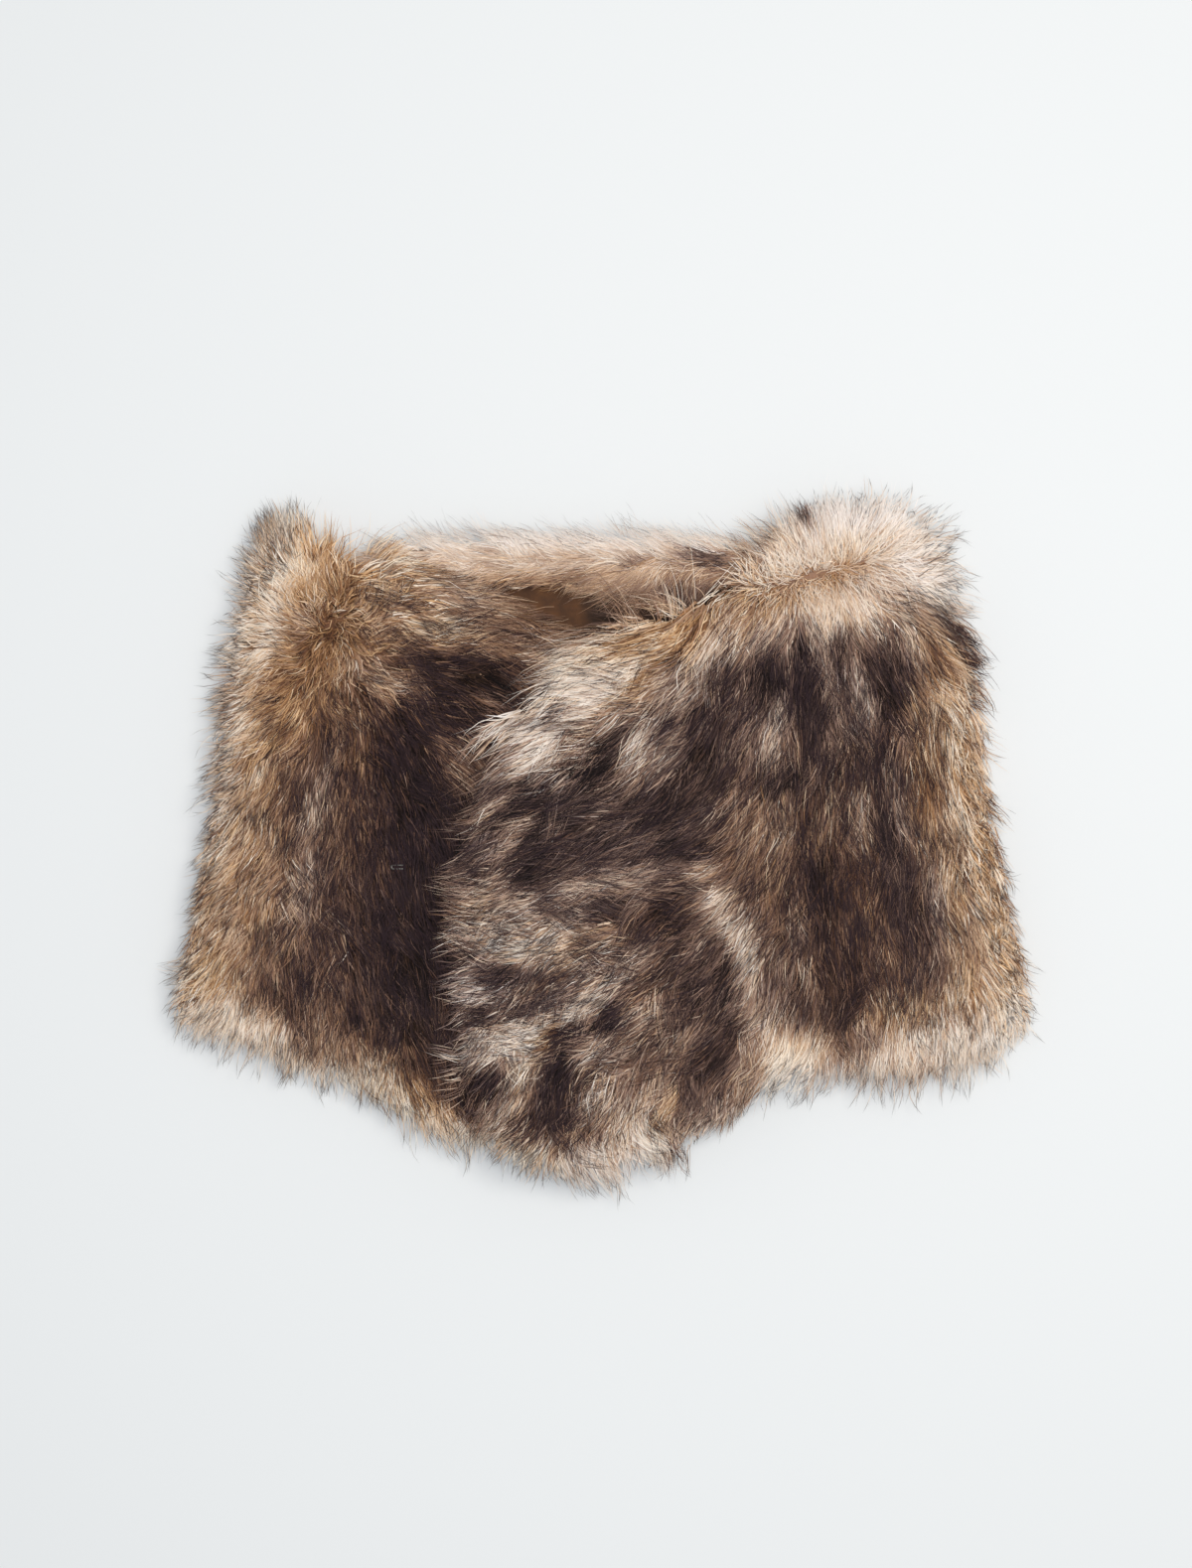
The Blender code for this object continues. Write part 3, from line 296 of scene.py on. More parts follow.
# how far in from the outline the hair's roots and the cloth begin, in mm
leftFrontInset = [
    (-90, 140, 90, 14, -27, 5), (-44, 108, 44, 20, -27, 4), (-62, 122, 44, 9, -27, 0.5),
    (-196, 90, 60, 18, 85, 26), (-206, -34, 36, 18, 80, 13), (-168, 152, 26, 14, 50, 9),
    (-125, -124, 104, 22, -20, 21), (-70, -150, 24, 12, -20, 33), (-186, -104, 26, 10, -20, 27),
    (-218, -84, 14, 12, 0, 13),
]
rightFrontInset = [
    (-80, -50, 90, 34, 90, 34), (-66, 30, 50, 30, 60, 31), (-47, 69, 20, 10, 45, 9),
    (30, 124, 76, 26, 27, 6), (-33, 91, 25, 14, 38, 25), (32, 126, 32, 14, 18, 16),
    (82, 156, 26, 15, 42, 25), (206, 5, 80, 24, 95, 24), (184, 134, 28, 22, 70, 36),
    (192, 94, 24, 13, -50, 14), (200, 64, 22, 18, 100, 37), (130, 168, 60, 14, 0, 19),
    (146, -118, 60, 18, 2, 28), (206, -98, 26, 16, 30, 20), (214, -66, 24, 12, 100, 18),
    (68, -134, 26, 14, 32, 4), (-10, -166, 50, 16, -6, 17), (32, -166, 20, 9, -24, 35),
    (54, -156, 18, 12, -50, 32), (-52, -156, 18, 14, -40, 8),
]
rightClothInset = [
    (206, -10, 100, 18, 96, 25), (198, 66, 34, 20, 100, 31), (182, 130, 30, 22, 70, 30),
    (32, 126, 34, 14, 18, 17), (-62, 56, 30, 16, 50, 26),
]
facingClothInset = [(0, 157, 110, 8, 0, 11)]
backClothInset = [(0, 156, 150, 12, 0, 22)]
rightFrontSag = [(96, -118, 28, 14, 0, 8)]  # how far the panel's low side is let down, in mm
# how much more the locks swerve, and how much more they differ in tone
leftFrontRuffle = [(-140, 108, 24, 34, 80, 2.0)]
rightFrontRuffle = [(118, 132, 50, 8, 6, 1.3), (-20, -90, 70, 60, 0, 1.7), (10, 60, 80, 40, 30, 1.1)]
rightFrontMottle = [
    (-15, 56, 70, 30, 30, 2.4), (-20, -60, 80, 70, 0, 1.5), (110, 60, 60, 30, 0, 1.4),
    (120, 150, 60, 20, 0, 0.7),
]
# how dense the roots are along the parting, and the locks and the short hair along the outline
partingRoots = [(106, 131, 34, 6, 18, 2.6)]
leftLockShare = [
    (-70, -152, 26, 12, -20, 0.15), (-192, -106, 32, 12, -14, 0.2), (-126, -124, 24, 10, -16, 0.5),
]
rightLockShare = [
    (26, -164, 34, 16, -16, 0.1), (62, -146, 18, 10, 40, 0.4), (142, -122, 26, 12, 0, 0.5),
    (194, 66, 30, 14, 100, 0.1), (180, 124, 18, 14, 100, 0.1),
]
rightFlankShare = [(194, 66, 30, 14, 100, 0.2), (180, 124, 18, 14, 100, 0.3)]

# All fields over the surface lie on one grid.
gridStep = 2.5
gridX = np.arange(-260.0, 261.0, gridStep)
gridY = np.arange(-215.0, 221.0, gridStep)
grid = np.stack(np.meshgrid(gridX, gridY), -1)
atX, atY = grid[..., 0], grid[..., 1]


# the four grid values round each place, weighted by how near it lies to them
def sample(field, places):
    across = np.clip((places[..., 0] - gridX[0]) / gridStep, 0, len(gridX) - 1.001)
    down = np.clip((places[..., 1] - gridY[0]) / gridStep, 0, len(gridY) - 1.001)
    i, j = down.astype(int), across.astype(int)
    f, g = down - i, across - j
    if field.ndim == 3:
        f, g = f[..., None], g[..., None]
    first = (1 - g) * field[i, j] + g * field[i, j + 1]
    return (1 - f) * first + f * ((1 - g) * field[i + 1, j] + g * field[i + 1, j + 1])


# 0 below low, 1 above high, and 3t^2 - 2t^3 between
def soft(low, high, value):
    t = np.clip((value - low) / (high - low), 0.0, 1.0)
    return t * t * (3.0 - 2.0 * t)


# 1 in a ring at a depth from the outline, rising over the first two depths and falling over the others
def ring(depths, rising, falling):
    return soft(*rising, depths) * soft(*falling, depths)


# the way in which a field rises at each grid place
def uphill(field):
    return np.stack(np.gradient(field, gridStep)[::-1], -1)


# sums of the grid's values under a gaussian of this radius, as one matrix product along each axis
def spread(values, radius):
    alongY = np.exp(-(((gridY[:, None] - gridY[None]) / radius) ** 2) / 2)
    alongX = np.exp(-(((gridX[:, None] - gridX[None]) / radius) ** 2) / 2)
    return alongY @ values @ alongX


# points on a smooth curve through the row: each span is the cubic that takes the mean slope at its ends
def curveThrough(row, t):
    knots = np.array(row, float)
    run = np.concatenate([[0.0], np.cumsum(np.linalg.norm(np.diff(knots, axis=0), axis=1))])
    run = run / run[-1]
    slope = np.gradient(knots, run, axis=0)
    k = np.clip(np.searchsorted(run, t, side="right") - 1, 0, len(run) - 2)
    step = (run[k + 1] - run[k])[:, None]
    f = (t - run[k])[:, None] / step
    start = (1 + 2 * f) * (1 - f) ** 2 * knots[k] + f * (1 - f) ** 2 * step * slope[k]
    return start + f * f * (3 - 2 * f) * knots[k + 1] + f * f * (f - 1) * step * slope[k + 1]


# grid of places between four edges: both pairs of edges ruled across, less the corners' own plane
def patch(cut, across, down):
    neck, hem = curveThrough(cut["neck"], across), curveThrough(cut["hem"], across)
    left, right = curveThrough(cut["left"], down), curveThrough(cut["right"], down)
    u, v = across[None, :, None], down[:, None, None]
    ruled = (1 - v) * neck[None] + v * hem[None] + (1 - u) * left[:, None] + u * right[:, None]
    corners = (1 - u) * (1 - v) * neck[0] + u * (1 - v) * neck[-1] + (1 - u) * v * hem[0] + u * v * hem[-1]
    return ruled - corners


# distance in from the outline at each grid place, negative outside: the nearest of its short chords
def depthInside(cut):
    outline = np.concatenate([
        curveThrough(cut["neck"], np.linspace(0, 1, 40)), curveThrough(cut["right"], np.linspace(0, 1, 30)),
        curveThrough(cut["hem"], np.linspace(1, 0, 40)), curveThrough(cut["left"], np.linspace(1, 0, 30)),
    ])
    inside = np.zeros(atX.shape, bool)
    nearest = np.full(atX.shape, np.inf)
    for a, b in zip(outline, np.roll(outline, -1, axis=0)):
        along = np.clip((grid - a) @ (b - a) / max((b - a) @ (b - a), 1e-9), 0.0, 1.0)
        nearest = np.minimum(nearest, np.linalg.norm(grid - a - along[..., None] * (b - a), axis=-1))
        if a[1] != b[1]:
            crossing = (b[0] - a[0]) * (atY - a[1]) / (b[1] - a[1]) + a[0]
            inside ^= ((a[1] > atY) != (b[1] > atY)) & (atX < crossing)
    return np.where(inside, nearest, -nearest)


# heights of a node's upper or lower side: points strewn over its triangles, averaged under a gaussian,
# and under a much wider one where there are none
def nodeHeights(nodeName, upward, radius):
    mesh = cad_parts[nodeName].data
    places = np.empty(len(mesh.vertices) * 3)
    mesh.vertices.foreach_get("co", places)
    mesh.calc_loop_triangles()
    corners = np.empty(len(mesh.loop_triangles) * 3, int)
    mesh.loop_triangles.foreach_get("vertices", corners)
    triangles = (places.reshape(-1, 3) / mm)[corners.reshape(-1, 3)]
    normals = np.cross(triangles[:, 1] - triangles[:, 0], triangles[:, 2] - triangles[:, 0])
    plan = np.maximum(normals[:, 2] if upward else -normals[:, 2], 0.0)
    draw = np.random.default_rng(5)
    strewn = 120000
    picked = draw.choice(len(plan), strewn, p=plan / plan.sum())
    a, b = draw.random((2, strewn, 1))
    a, b = np.where(a + b > 1, 1 - a, a), np.where(a + b > 1, 1 - b, b)
    t = triangles[picked]
    points = t[:, 0] + a * (t[:, 1] - t[:, 0]) + b * (t[:, 2] - t[:, 0])
    column = np.rint((points[:, 0] + tableOrigin[0] - gridX[0]) / gridStep).astype(int)
    row = np.rint((points[:, 1] + tableOrigin[1] - gridY[0]) / gridStep).astype(int)
    cell = row * len(gridX) + column
    total = np.bincount(cell, points[:, 2], atX.size).reshape(atX.shape)
    count = np.bincount(cell, minlength=atX.size).reshape(atX.shape)
    wide, share = 8, 1e-3
    sums = spread(total, radius) + share * spread(total, wide * radius) / wide**2
    return sums / (spread(count, radius) + share * spread(count, wide * radius) / wide**2)


# the rows' unit vectors, each weighted by the inverse fourth power of its distance; the result is
# shorter than 1 where its neighbours point apart, as at a parting or a crown
def lieField(rows):
    total, weights = np.zeros(grid.shape), np.zeros(atX.shape)
    closest = 50.0  # keeps the weight finite at the row's own place, in square mm
    for x, y, angle in rows:
        gap = (atX - x) ** 2 + (atY - y) ** 2 + closest
        weights += gap**-2
        way = np.array([math.cos(math.radians(angle)), math.sin(math.radians(angle))])
        total += (gap**-2)[..., None] * way
    return total / weights[..., None]


# values painted over the grid: each marking is full strength inside its ellipse and half on its rim
def painted(base, marks):
    field = np.broadcast_to(np.array(base, float), atX.shape + (len(base),)).copy()
    for x, y, halfLength, halfWidth, angle, *values in marks:
        c, s = math.cos(math.radians(angle)), math.sin(math.radians(angle))
        along = (atX - x) * c + (atY - y) * s
        aside = (atY - y) * c - (atX - x) * s
        strength = 0.5 ** (((along / halfLength) ** 2 + (aside / halfWidth) ** 2) ** 1.5)
        field += (np.array(values) - field) * strength[..., None]
    return field


# the same for a field of one value
def paintedField(base, marks):
    return painted((base,), marks)[..., 0]


print("fields: depth, height, lie and markings")
cuts = {"left_front": leftFrontCut, "right_front": rightFrontCut, "back": backCut, "neck_facing": facingCut,
        "lining": liningCut}
furPanels = ("left_front", "right_front", "neck_facing", "back")
lieTables = {"left_front": leftFrontLie, "right_front": rightFrontLie, "neck_facing": facingLie,
             "neck_curls": neckCurlLie, "flyaways": flyawayLie, "wisps": neckWispLie}
depth = {name: depthInside(cut) for name, cut in cuts.items()}
depthInAny = np.maximum.reduce(list(depth.values()))
top = {name: nodeHeights(name, True, 4.0) for name in furPanels}
under = {name: nodeHeights(name, False, 4.0) for name in furPanels}
under["right_front"] = under["right_front"] - paintedField(0.0, rightFrontSag)
lie = {name: lieField(rows) for name, rows in lieTables.items()}
coat = {"left_front": painted((0.42, 0.60), leftFrontMarks),
        "right_front": painted((0.34, 0.40), rightFrontMarks),
        "neck_facing": painted((0.62, 0.70), facingMarks)}
tips = {"left_front": paintedField(0.32, leftFrontTips), "right_front": paintedField(0.32, rightFrontTips),
        "neck_facing": paintedField(0.06, facingTips), "back": paintedField(0.40, [])}

# more burnt tips along the outline, and most of them on the folds above the hem
aboveHem = soft(-90.0, -50.0, atY)
foldTips = {"left_front": 0.48 * soft(-140.0, -165.0, atX), "right_front": 0.42 * soft(165.0, 185.0, atX)}
for name, share in foldTips.items():
    tips[name] = np.maximum(tips[name], soft(7.0, 2.5, depth[name]) * (0.30 + share * aboveHem))

# the back's hair points out of its outline, and is as pale there as the fronts' or paler
outOfBack = -uphill(depth["back"])
lie["back"] = outOfBack / np.maximum(np.linalg.norm(outOfBack, axis=-1, keepdims=True), 1e-6)
lie["back"] = 0.35 * lie["back"] + np.where(atX[..., None] < 0, lie["left_front"], lie["right_front"])
coat["back"] = np.where(atX[..., None] < 0, coat["left_front"], coat["right_front"])
coat["back"] = np.maximum(coat["back"], (0.66, 0.0))


# an sRGB hex colour as linear red, green and blue, with full alpha
def linear(colour):
    parts = [int(colour[i:i + 2], 16) / 255 for i in (1, 3, 5)]
    return tuple(p / 12.92 if p <= 0.04045 else ((p + 0.055) / 1.055) ** 2.4 for p in parts) + (1.0,)


# adds a node with its settings, and sets or links its inputs; stops are a colour ramp's places and colours
def addNode(tree, kind, inputs, stops=(), **settings):
    node = tree.nodes.new(kind)
    for name, value in settings.items():
        setattr(node, name, value)
    for _ in range(len(stops) - 2):
        node.color_ramp.elements.new(0.5)
    for element, (place, colour) in zip(node.color_ramp.elements if stops else (), stops):
        element.position = place
        element.color = linear(colour)
    for name, value in inputs.items():
        if isinstance(value, bpy.types.NodeSocket):
            tree.links.new(value, node.inputs[name])
        else:
            node.inputs[name].default_value = value
    return node


def newMaterial(name):
    made = bpy.data.materials.new(name)
    made.use_nodes = True
    return made, made.node_tree, made.node_tree.nodes["Principled BSDF"]


# one colour and one roughness all over
def plainMaterial(name, colour, roughness, metallic=0.0):
    made, _, shader = newMaterial(name)
    shader.inputs["Base Color"].default_value = linear(colour)
    shader.inputs["Metallic"].default_value = metallic
    shader.inputs["Roughness"].default_value = roughness
    return made


pileIor = 1.51  # modacrylic
goldenHair = [(0.0, "#120d0d"), (0.18, "#3e2a23"), (0.38, "#80583f"), (0.58, "#b98c62"), (0.78, "#eec79a"),
              (1.0, "#fff1db")]
rosyHair = [(0.0, "#120e0f"), (0.18, "#3d302f"), (0.38, "#7c665f"), (0.58, "#b3998e"), (0.78, "#e8d5c5"),
            (1.0, "#fff6ef")]


# the coat's colour at a light level, between the rosy and the golden row of colours
def coatColour(tree, level, gold):
    golden = addNode(tree, "ShaderNodeValToRGB", {"Fac": level}, stops=goldenHair).outputs[0]
    rosy = addNode(tree, "ShaderNodeValToRGB", {"Fac": level}, stops=rosyHair).outputs[0]
    return addNode(tree, "ShaderNodeMix", {"Factor": gold, 6: rosy, 7: golden}, data_type="RGBA").outputs[2]


# a colour drawn towards another over a range of a value, with the share that it has at each end
def tinted(tree, colour, value, ends, shares, other):
    share = addNode(tree, "ShaderNodeMapRange", {
        "Value": value, "From Min": ends[0], "From Max": ends[1], "To Min": shares[0],
        "To Max": shares[1]}, interpolation_type="SMOOTHSTEP").outputs[0]
    return addNode(tree, "ShaderNodeMix", {"Factor": share, 6: colour, 7: linear(other)},
                   data_type="RGBA").outputs[2]


# Modacrylic pile, printed and combed: fine bright fibres with a silky gloss, warm at the root and burnt
# dark at the tip. The map's u is the hair's colour: four bands from rosy to golden, each from dark to
# pale; v runs from root to tip.
def hairMaterial(name, settings):
    made, tree, shader = newMaterial(name)
    place = addNode(tree, "ShaderNodeSeparateXYZ", {
        "Vector": addNode(tree, "ShaderNodeUVMap", {}, uv_map="OFBake").outputs["UV"]}).outputs
    banded = addNode(tree, "ShaderNodeMath", {0: place["X"], 1: 4.0}, operation="MULTIPLY").outputs[0]
    light = addNode(tree, "ShaderNodeMath", {0: banded}, operation="FRACT").outputs[0]
    band = addNode(tree, "ShaderNodeMath", {0: banded}, operation="FLOOR").outputs[0]
    gold = addNode(tree, "ShaderNodeMath", {0: band, 1: 3.0}, operation="DIVIDE").outputs[0]
    rooted = tinted(tree, coatColour(tree, light, gold), place["Y"], (0.0, settings["rootEnd"]),
                    (settings["rootShare"], 0.0), settings["rootColour"])
    tipped = tinted(tree, rooted, place["Y"], (settings["tipStart"], settings["tipFull"]),
                    (0.0, settings["tipShare"]), settings["tipColour"])
    tree.links.new(tipped, shader.inputs["Base Color"])
    shader.inputs["Roughness"].default_value = settings["roughness"]
    shader.inputs["IOR"].default_value = pileIor
    shader.inputs["Specular IOR Level"].default_value = settings["gloss"]
    return made


# Knitted backing with the matted foot of its pile: dull and deep brown, seen only down between the
# locks. The light and gold attributes are the coat's own.
def backingMaterial(settings):
    made, tree, shader = newMaterial("knitted backing of modacrylic pile")
    light = addNode(tree, "ShaderNodeAttribute", {}, attribute_name="light").outputs["Fac"]
    gold = addNode(tree, "ShaderNodeAttribute", {}, attribute_name="gold").outputs["Fac"]
    place = addNode(tree, "ShaderNodeTexCoord", {}).outputs["Object"]
    fleck = addNode(tree, "ShaderNodeTexNoise", {
        "Vector": place, "Scale": 1.0 / settings["fleckSize"], "Detail": 4.0, "Roughness": 0.6})
    shade = addNode(tree, "ShaderNodeMath", {
        0: fleck.outputs["Fac"], 1: settings["fleck"], 2: settings["darker"]},
        operation="MULTIPLY_ADD").outputs[0]
    level = addNode(tree, "ShaderNodeMath", {0: light, 1: shade}, operation="ADD").outputs[0]
    tree.links.new(coatColour(tree, level, gold), shader.inputs["Base Color"])
    shader.inputs["Roughness"].default_value = 0.95
    shader.inputs["IOR"].default_value = pileIor
    return made


# A grid of places with its heights as a named piece of cloth: quads between the points, the map spread
# over it from 0 to 1, and a wall below it. Gives the piece and the area of its cut in square metres.
def clothPiece(name, places, heights, thickness, material, attributes=()):
    rows, columns = heights.shape
    points = np.concatenate([places - tableOrigin, heights[..., None]], -1).reshape(-1, 3)
    corner = (np.arange(rows - 1)[:, None] * columns + np.arange(columns - 1)[None]).ravel()
    quads = np.stack([corner, corner + columns, corner + columns + 1, corner + 1], 1)
    mesh = bpy.data.meshes.new(name)
    mesh.from_pydata(points * mm, [], quads.tolist())
    mesh.shade_smooth()
    mapAt = np.stack(np.meshgrid(np.linspace(0, 1, columns), np.linspace(0, 1, rows)), -1).reshape(-1, 2)
    layer = mesh.uv_layers.new(name="OFBake")
    layer.uv.foreach_set("vector", mapAt[quads.ravel()].astype(np.float32).ravel())
    for attribute, values in attributes:
        data = mesh.attributes.new(attribute, "FLOAT", "POINT").data
        data.foreach_set("value", values.ravel().astype(np.float32))
    mesh.materials.append(material)
    made = bpy.data.objects.new(name, mesh)
    bpy.context.scene.collection.objects.link(made)
    wall = made.modifiers.new("cloth thickness", "SOLIDIFY")
    wall.thickness = thickness * mm
    wall.offset = -1.0
    downward, sideways = np.diff(places, axis=0)[:, :-1], np.diff(places, axis=1)[:-1]
    cells = np.abs(downward[..., 0] * sideways[..., 1] - downward[..., 1] * sideways[..., 0])
    return made, cells.sum() * mm * mm


# One panel's cloth: its cut's grid, drawn in from the outline by the inset and laid under the pile, a
# pile's depth below the top; towards the outline it turns down to the panel's low side as 1 - e^(-d/turn).
def clothPanel(panel, cut, material, settings):
    places = patch(cut, np.linspace(0, 1, settings["columns"]), np.linspace(0, 1, settings["rows"]))
    inset = sample(settings["inset"], places)
    short = np.maximum(inset - sample(depth[panel], places), 0.0)
    places = places + sample(uphill(depth[panel]), places) * short[..., None]
    turned = 1 - np.exp(-np.maximum(sample(depth[panel], places) - inset, 0.0) / settings["turn"])
    low = sample(under[panel], places) + settings["clear"]
    high = np.maximum(sample(top[panel], places) - settings["pile"], low)
    seen = sample(coat[panel], places)
    made, area = clothPiece(panel + "_cloth", places, low + (high - low) * turned, settings["thickness"],
                            material, (("light", seen[..., 0]), ("gold", seen[..., 1])))
    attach(made, "root")
    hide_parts(panel)
    return made, area


lockTable = 128  # jittered centres repeat after this many cells
lockCount = lockTable**2
tipMix = (0.45, 0.35, 0.2)  # how far the wisp, the fine lock and the hair itself settle if a tip is burnt
toneMix = (0.7, 0.8, 0.4)  # how much fine locks, wisps and coarse locks differ in tone


# the nearest of the jittered centres in the nine cells round each place, and that centre's number
def nearestLock(places, pitch, seed):
    shift = np.random.default_rng(seed).uniform(0.05, 0.95, (lockTable, lockTable, 2))
    cell = np.floor(places / pitch).astype(int)
    best = np.full(len(places), np.inf)
    centre, number = places.copy(), np.zeros(len(places), int)
    for dx in (-1, 0, 1):
        for dy in (-1, 0, 1):
            near = cell + (dx, dy)
            spot = (near + shift[near[:, 0] % lockTable, near[:, 1] % lockTable]) * pitch
            gap = ((places - spot) ** 2).sum(1)
            nearer = gap < best
            best[nearer], centre[nearer] = gap[nearer], spot[nearer]
            number[nearer] = ((near[:, 0] % lockTable) * lockTable + near[:, 1] % lockTable)[nearer]
    return centre, number


# plan paths: each step goes on along the lie of the hair at the place reached, turned by the hair's swerve
# and by its curl times the share of its length that it has run
def follow(start, field, reach, shares, swerve, curl):
    path = [start]
    for share, step in zip(shares, np.diff(shares, prepend=0.0)):
        c, s = np.cos(swerve + curl * share), np.sin(swerve + curl * share)
        way = sample(field, path[-1])
        way = way / np.maximum(np.linalg.norm(way, axis=1, keepdims=True), 1e-6)
        way = np.stack([way[:, 0] * c - way[:, 1] * s, way[:, 0] * s + way[:, 1] * c], 1)
        path.append(path[-1] + way * (reach * step)[:, None])
    return np.stack(path[1:], 1)


# flat strips along the paths, turned to face out of the pile: two points across at each step and one at
# the tip; the points' normals fan out across the strip as on a round fibre
def ribbonMesh(name, paths, out, widths, rolls, maps):
    count, steps = paths.shape[:2]
    forward = np.gradient(paths, axis=1)
    forward /= np.maximum(np.linalg.norm(forward, axis=-1, keepdims=True), 1e-9)
    across = np.cross(forward, out)
    across /= np.maximum(np.linalg.norm(across, axis=-1, keepdims=True), 1e-9)
    facing = np.cross(across, forward)
    skyward = np.array([0.0, 0.0, 0.8])  # the sheen of fur gathers along the top of its locks
    c, s = np.cos(rolls[:, None, None]), np.sin(rolls[:, None, None])
    across, facing = across * c + facing * s, facing * c - across * s
    half = across * (widths / 2)[..., None]
    pairs = np.stack([paths - half, paths + half], 2)
    sideways = 0.8 * across
    normals = np.stack([facing + skyward - sideways, facing + skyward + sideways], 2)
    points = np.concatenate([pairs[:, :-1].reshape(count, -1, 3), paths[:, -1:]], 1)
    normals = np.concatenate([normals[:, :-1].reshape(count, -1, 3), facing[:, -1:] + skyward], 1)
    normals /= np.linalg.norm(normals, axis=-1, keepdims=True)
    pattern = [(2 * k, 2 * k + 1, 2 * k + 3) for k in range(steps - 2)]
    pattern += [(2 * k, 2 * k + 3, 2 * k + 2) for k in range(steps - 2)]
    pattern += [(2 * steps - 4, 2 * steps - 3, 2 * steps - 2)]
    perHair = 2 * steps - 1
    corners = (np.arange(count)[:, None, None] * perHair + np.array(pattern)[None]).ravel()
    mesh = bpy.data.meshes.new(name)
    mesh.vertices.add(count * perHair)
    mesh.vertices.foreach_set("co", (points * mm).ravel())
    mesh.loops.add(len(corners))
    mesh.loops.foreach_set("vertex_index", corners)
    mesh.polygons.add(len(corners) // 3)
    mesh.polygons.foreach_set("loop_start", np.arange(0, len(corners), 3))
    mesh.update(calc_edges=True)
    mesh.shade_smooth()
    layer = mesh.uv_layers.new(name="OFBake")
    layer.uv.foreach_set("vector", maps.reshape(-1, 2)[corners].ravel())
    mesh.normals_split_custom_set_from_vertices(normals.reshape(-1, 3))
    return mesh


# Hair of one panel. Roots are strewn over the panel, each hair runs along the lie of the hair from its
# root to its reach, and is drawn towards the path of its fine lock, its wisp and its coarse lock, more so
# near the tip. It climbs from the backing to the pile's surface as 1 - (1 - s)^rise, and past the outline
# it sinks towards whatever lies below.
def growHair(name, panel, material, settings):
    draw = np.random.default_rng(settings["seed"])
    chance = settings["chance"].ravel()
    count = settings["count"]
    cell = draw.choice(chance.size, count, p=chance / chance.sum())
    roots = grid.reshape(-1, 2)[cell] + draw.uniform(-0.5, 0.5, (count, 2)) * gridStep
    shares = settings["buried"] + (1 - settings["buried"]) * np.linspace(0.0, 1.0, settings["steps"] + 1)
    field = lie[settings.get("lie", panel)]
    crest, low = top[panel], under[panel]
    away = -uphill(depth[panel])
    agree = np.linalg.norm(sample(field, roots), axis=1)
    fine, fineNumber = nearestLock(roots, settings["finePitch"], settings["seed"] + 1)
    coarse, coarseNumber = nearestLock(roots, settings["coarsePitch"], settings["seed"] + 2)
    wisp, wispNumber = nearestLock(roots, settings["wispPitch"], settings["seed"] + 3)
    rootedIn = sample(depth[panel], roots)
    edge = soft(*settings["edgeBand"], rootedIn)
    # the hairs with the lowest values have burnt tips
    burnt = tipMix[0] * draw.random(lockCount)[wispNumber] + tipMix[1] * draw.random(lockCount)[fineNumber]
    burnt = burnt + tipMix[2] * draw.random(count)

    # how far each hair reaches: locks differ near the outline, and hair stands up where it parts
    ruffle = sample(settings["ruffle"], roots)
    lockReach = 1.0 + settings["wispSpread"] * draw.normal(0.0, 1.0, lockCount)[wispNumber]
    lockReach = lockReach + edge * settings["wispReach"] * (draw.random(lockCount)[wispNumber] ** 2 - 0.2)
    lockReach = lockReach + edge * settings["tuftReach"] * (draw.random(lockCount)[coarseNumber] - 0.5)
    flat = settings["standing"] + (1 - settings["standing"]) * soft(0.2, 0.9, agree)
    full = settings["reach"]
    reach = full * lockReach * draw.normal(1.0, settings["reachSpread"], count) * flat
    reach = reach * sample(settings["reachField"], roots)
    reach = reach * (1 + edge * (0.6 * draw.random(count) ** 3 - 0.2))
    reach = np.clip(reach, settings["shortest"] * full, settings["longest"] * full)
    overhang = settings["overhang"] * draw.uniform(0.5, 1.0, count)
    reach = np.minimum(reach, np.maximum(sample(depthInAny, roots), 0.0) + overhang)

    # its path in plan, drawn towards those of its locks
    parted = 1 - soft(0.3, 0.95, agree)
    swerve = draw.normal(0.0, settings["swerve"], count) * ruffle + draw.normal(0.0, 0.6, count) * parted
    lockSwerve = draw.normal(0.0, settings["lockSwerve"], lockCount)[coarseNumber] * ruffle
    curl = settings["curl"] + draw.normal(0.0, settings["curlSpread"], lockCount)[coarseNumber] * ruffle
    own = follow(roots, field, reach, shares, swerve + lockSwerve, curl)
    ofFine = follow(fine, field, reach, shares, lockSwerve, curl)
    ofCoarse = follow(coarse, field, reach, shares, lockSwerve, curl)
    ofWisp = follow(wisp, field, reach, shares, lockSwerve, curl)
    pull = shares[None, :, None]
    held = ((1 - 0.7 * parted) * draw.uniform(0.6, 1.0, count))[:, None, None]
    atEdge = edge[:, None, None]
    plan = own + held * settings["finePull"] * (1 - 0.5 * atEdge) * pull**1.5 * (ofFine - own)
    plan = plan + held * (settings["wispPull"] + settings["edgePull"] * atEdge) * pull**2 * (ofWisp - own)
    tuftPull = settings["coarsePull"] + settings["tuftPull"] * atEdge
    plan = plan + held * tuftPull * pull**2 * (ofCoarse - own)
    forward = np.gradient(plan, axis=1)
    forward /= np.maximum(np.linalg.norm(forward, axis=-1, keepdims=True), 1e-9)
    aside = np.stack([-forward[..., 1], forward[..., 0]], -1)
    wave = np.sin(shares[None] * draw.uniform(2.0, 5.0, (count, 1)) + draw.uniform(0, 6.3, (count, 1)))
    stray = draw.normal(0.0, settings["stray"], (count, 1)) * shares[None] ** 2
    plan = plan + aside * (settings["wave"] * wave * shares[None] + stray)[..., None]

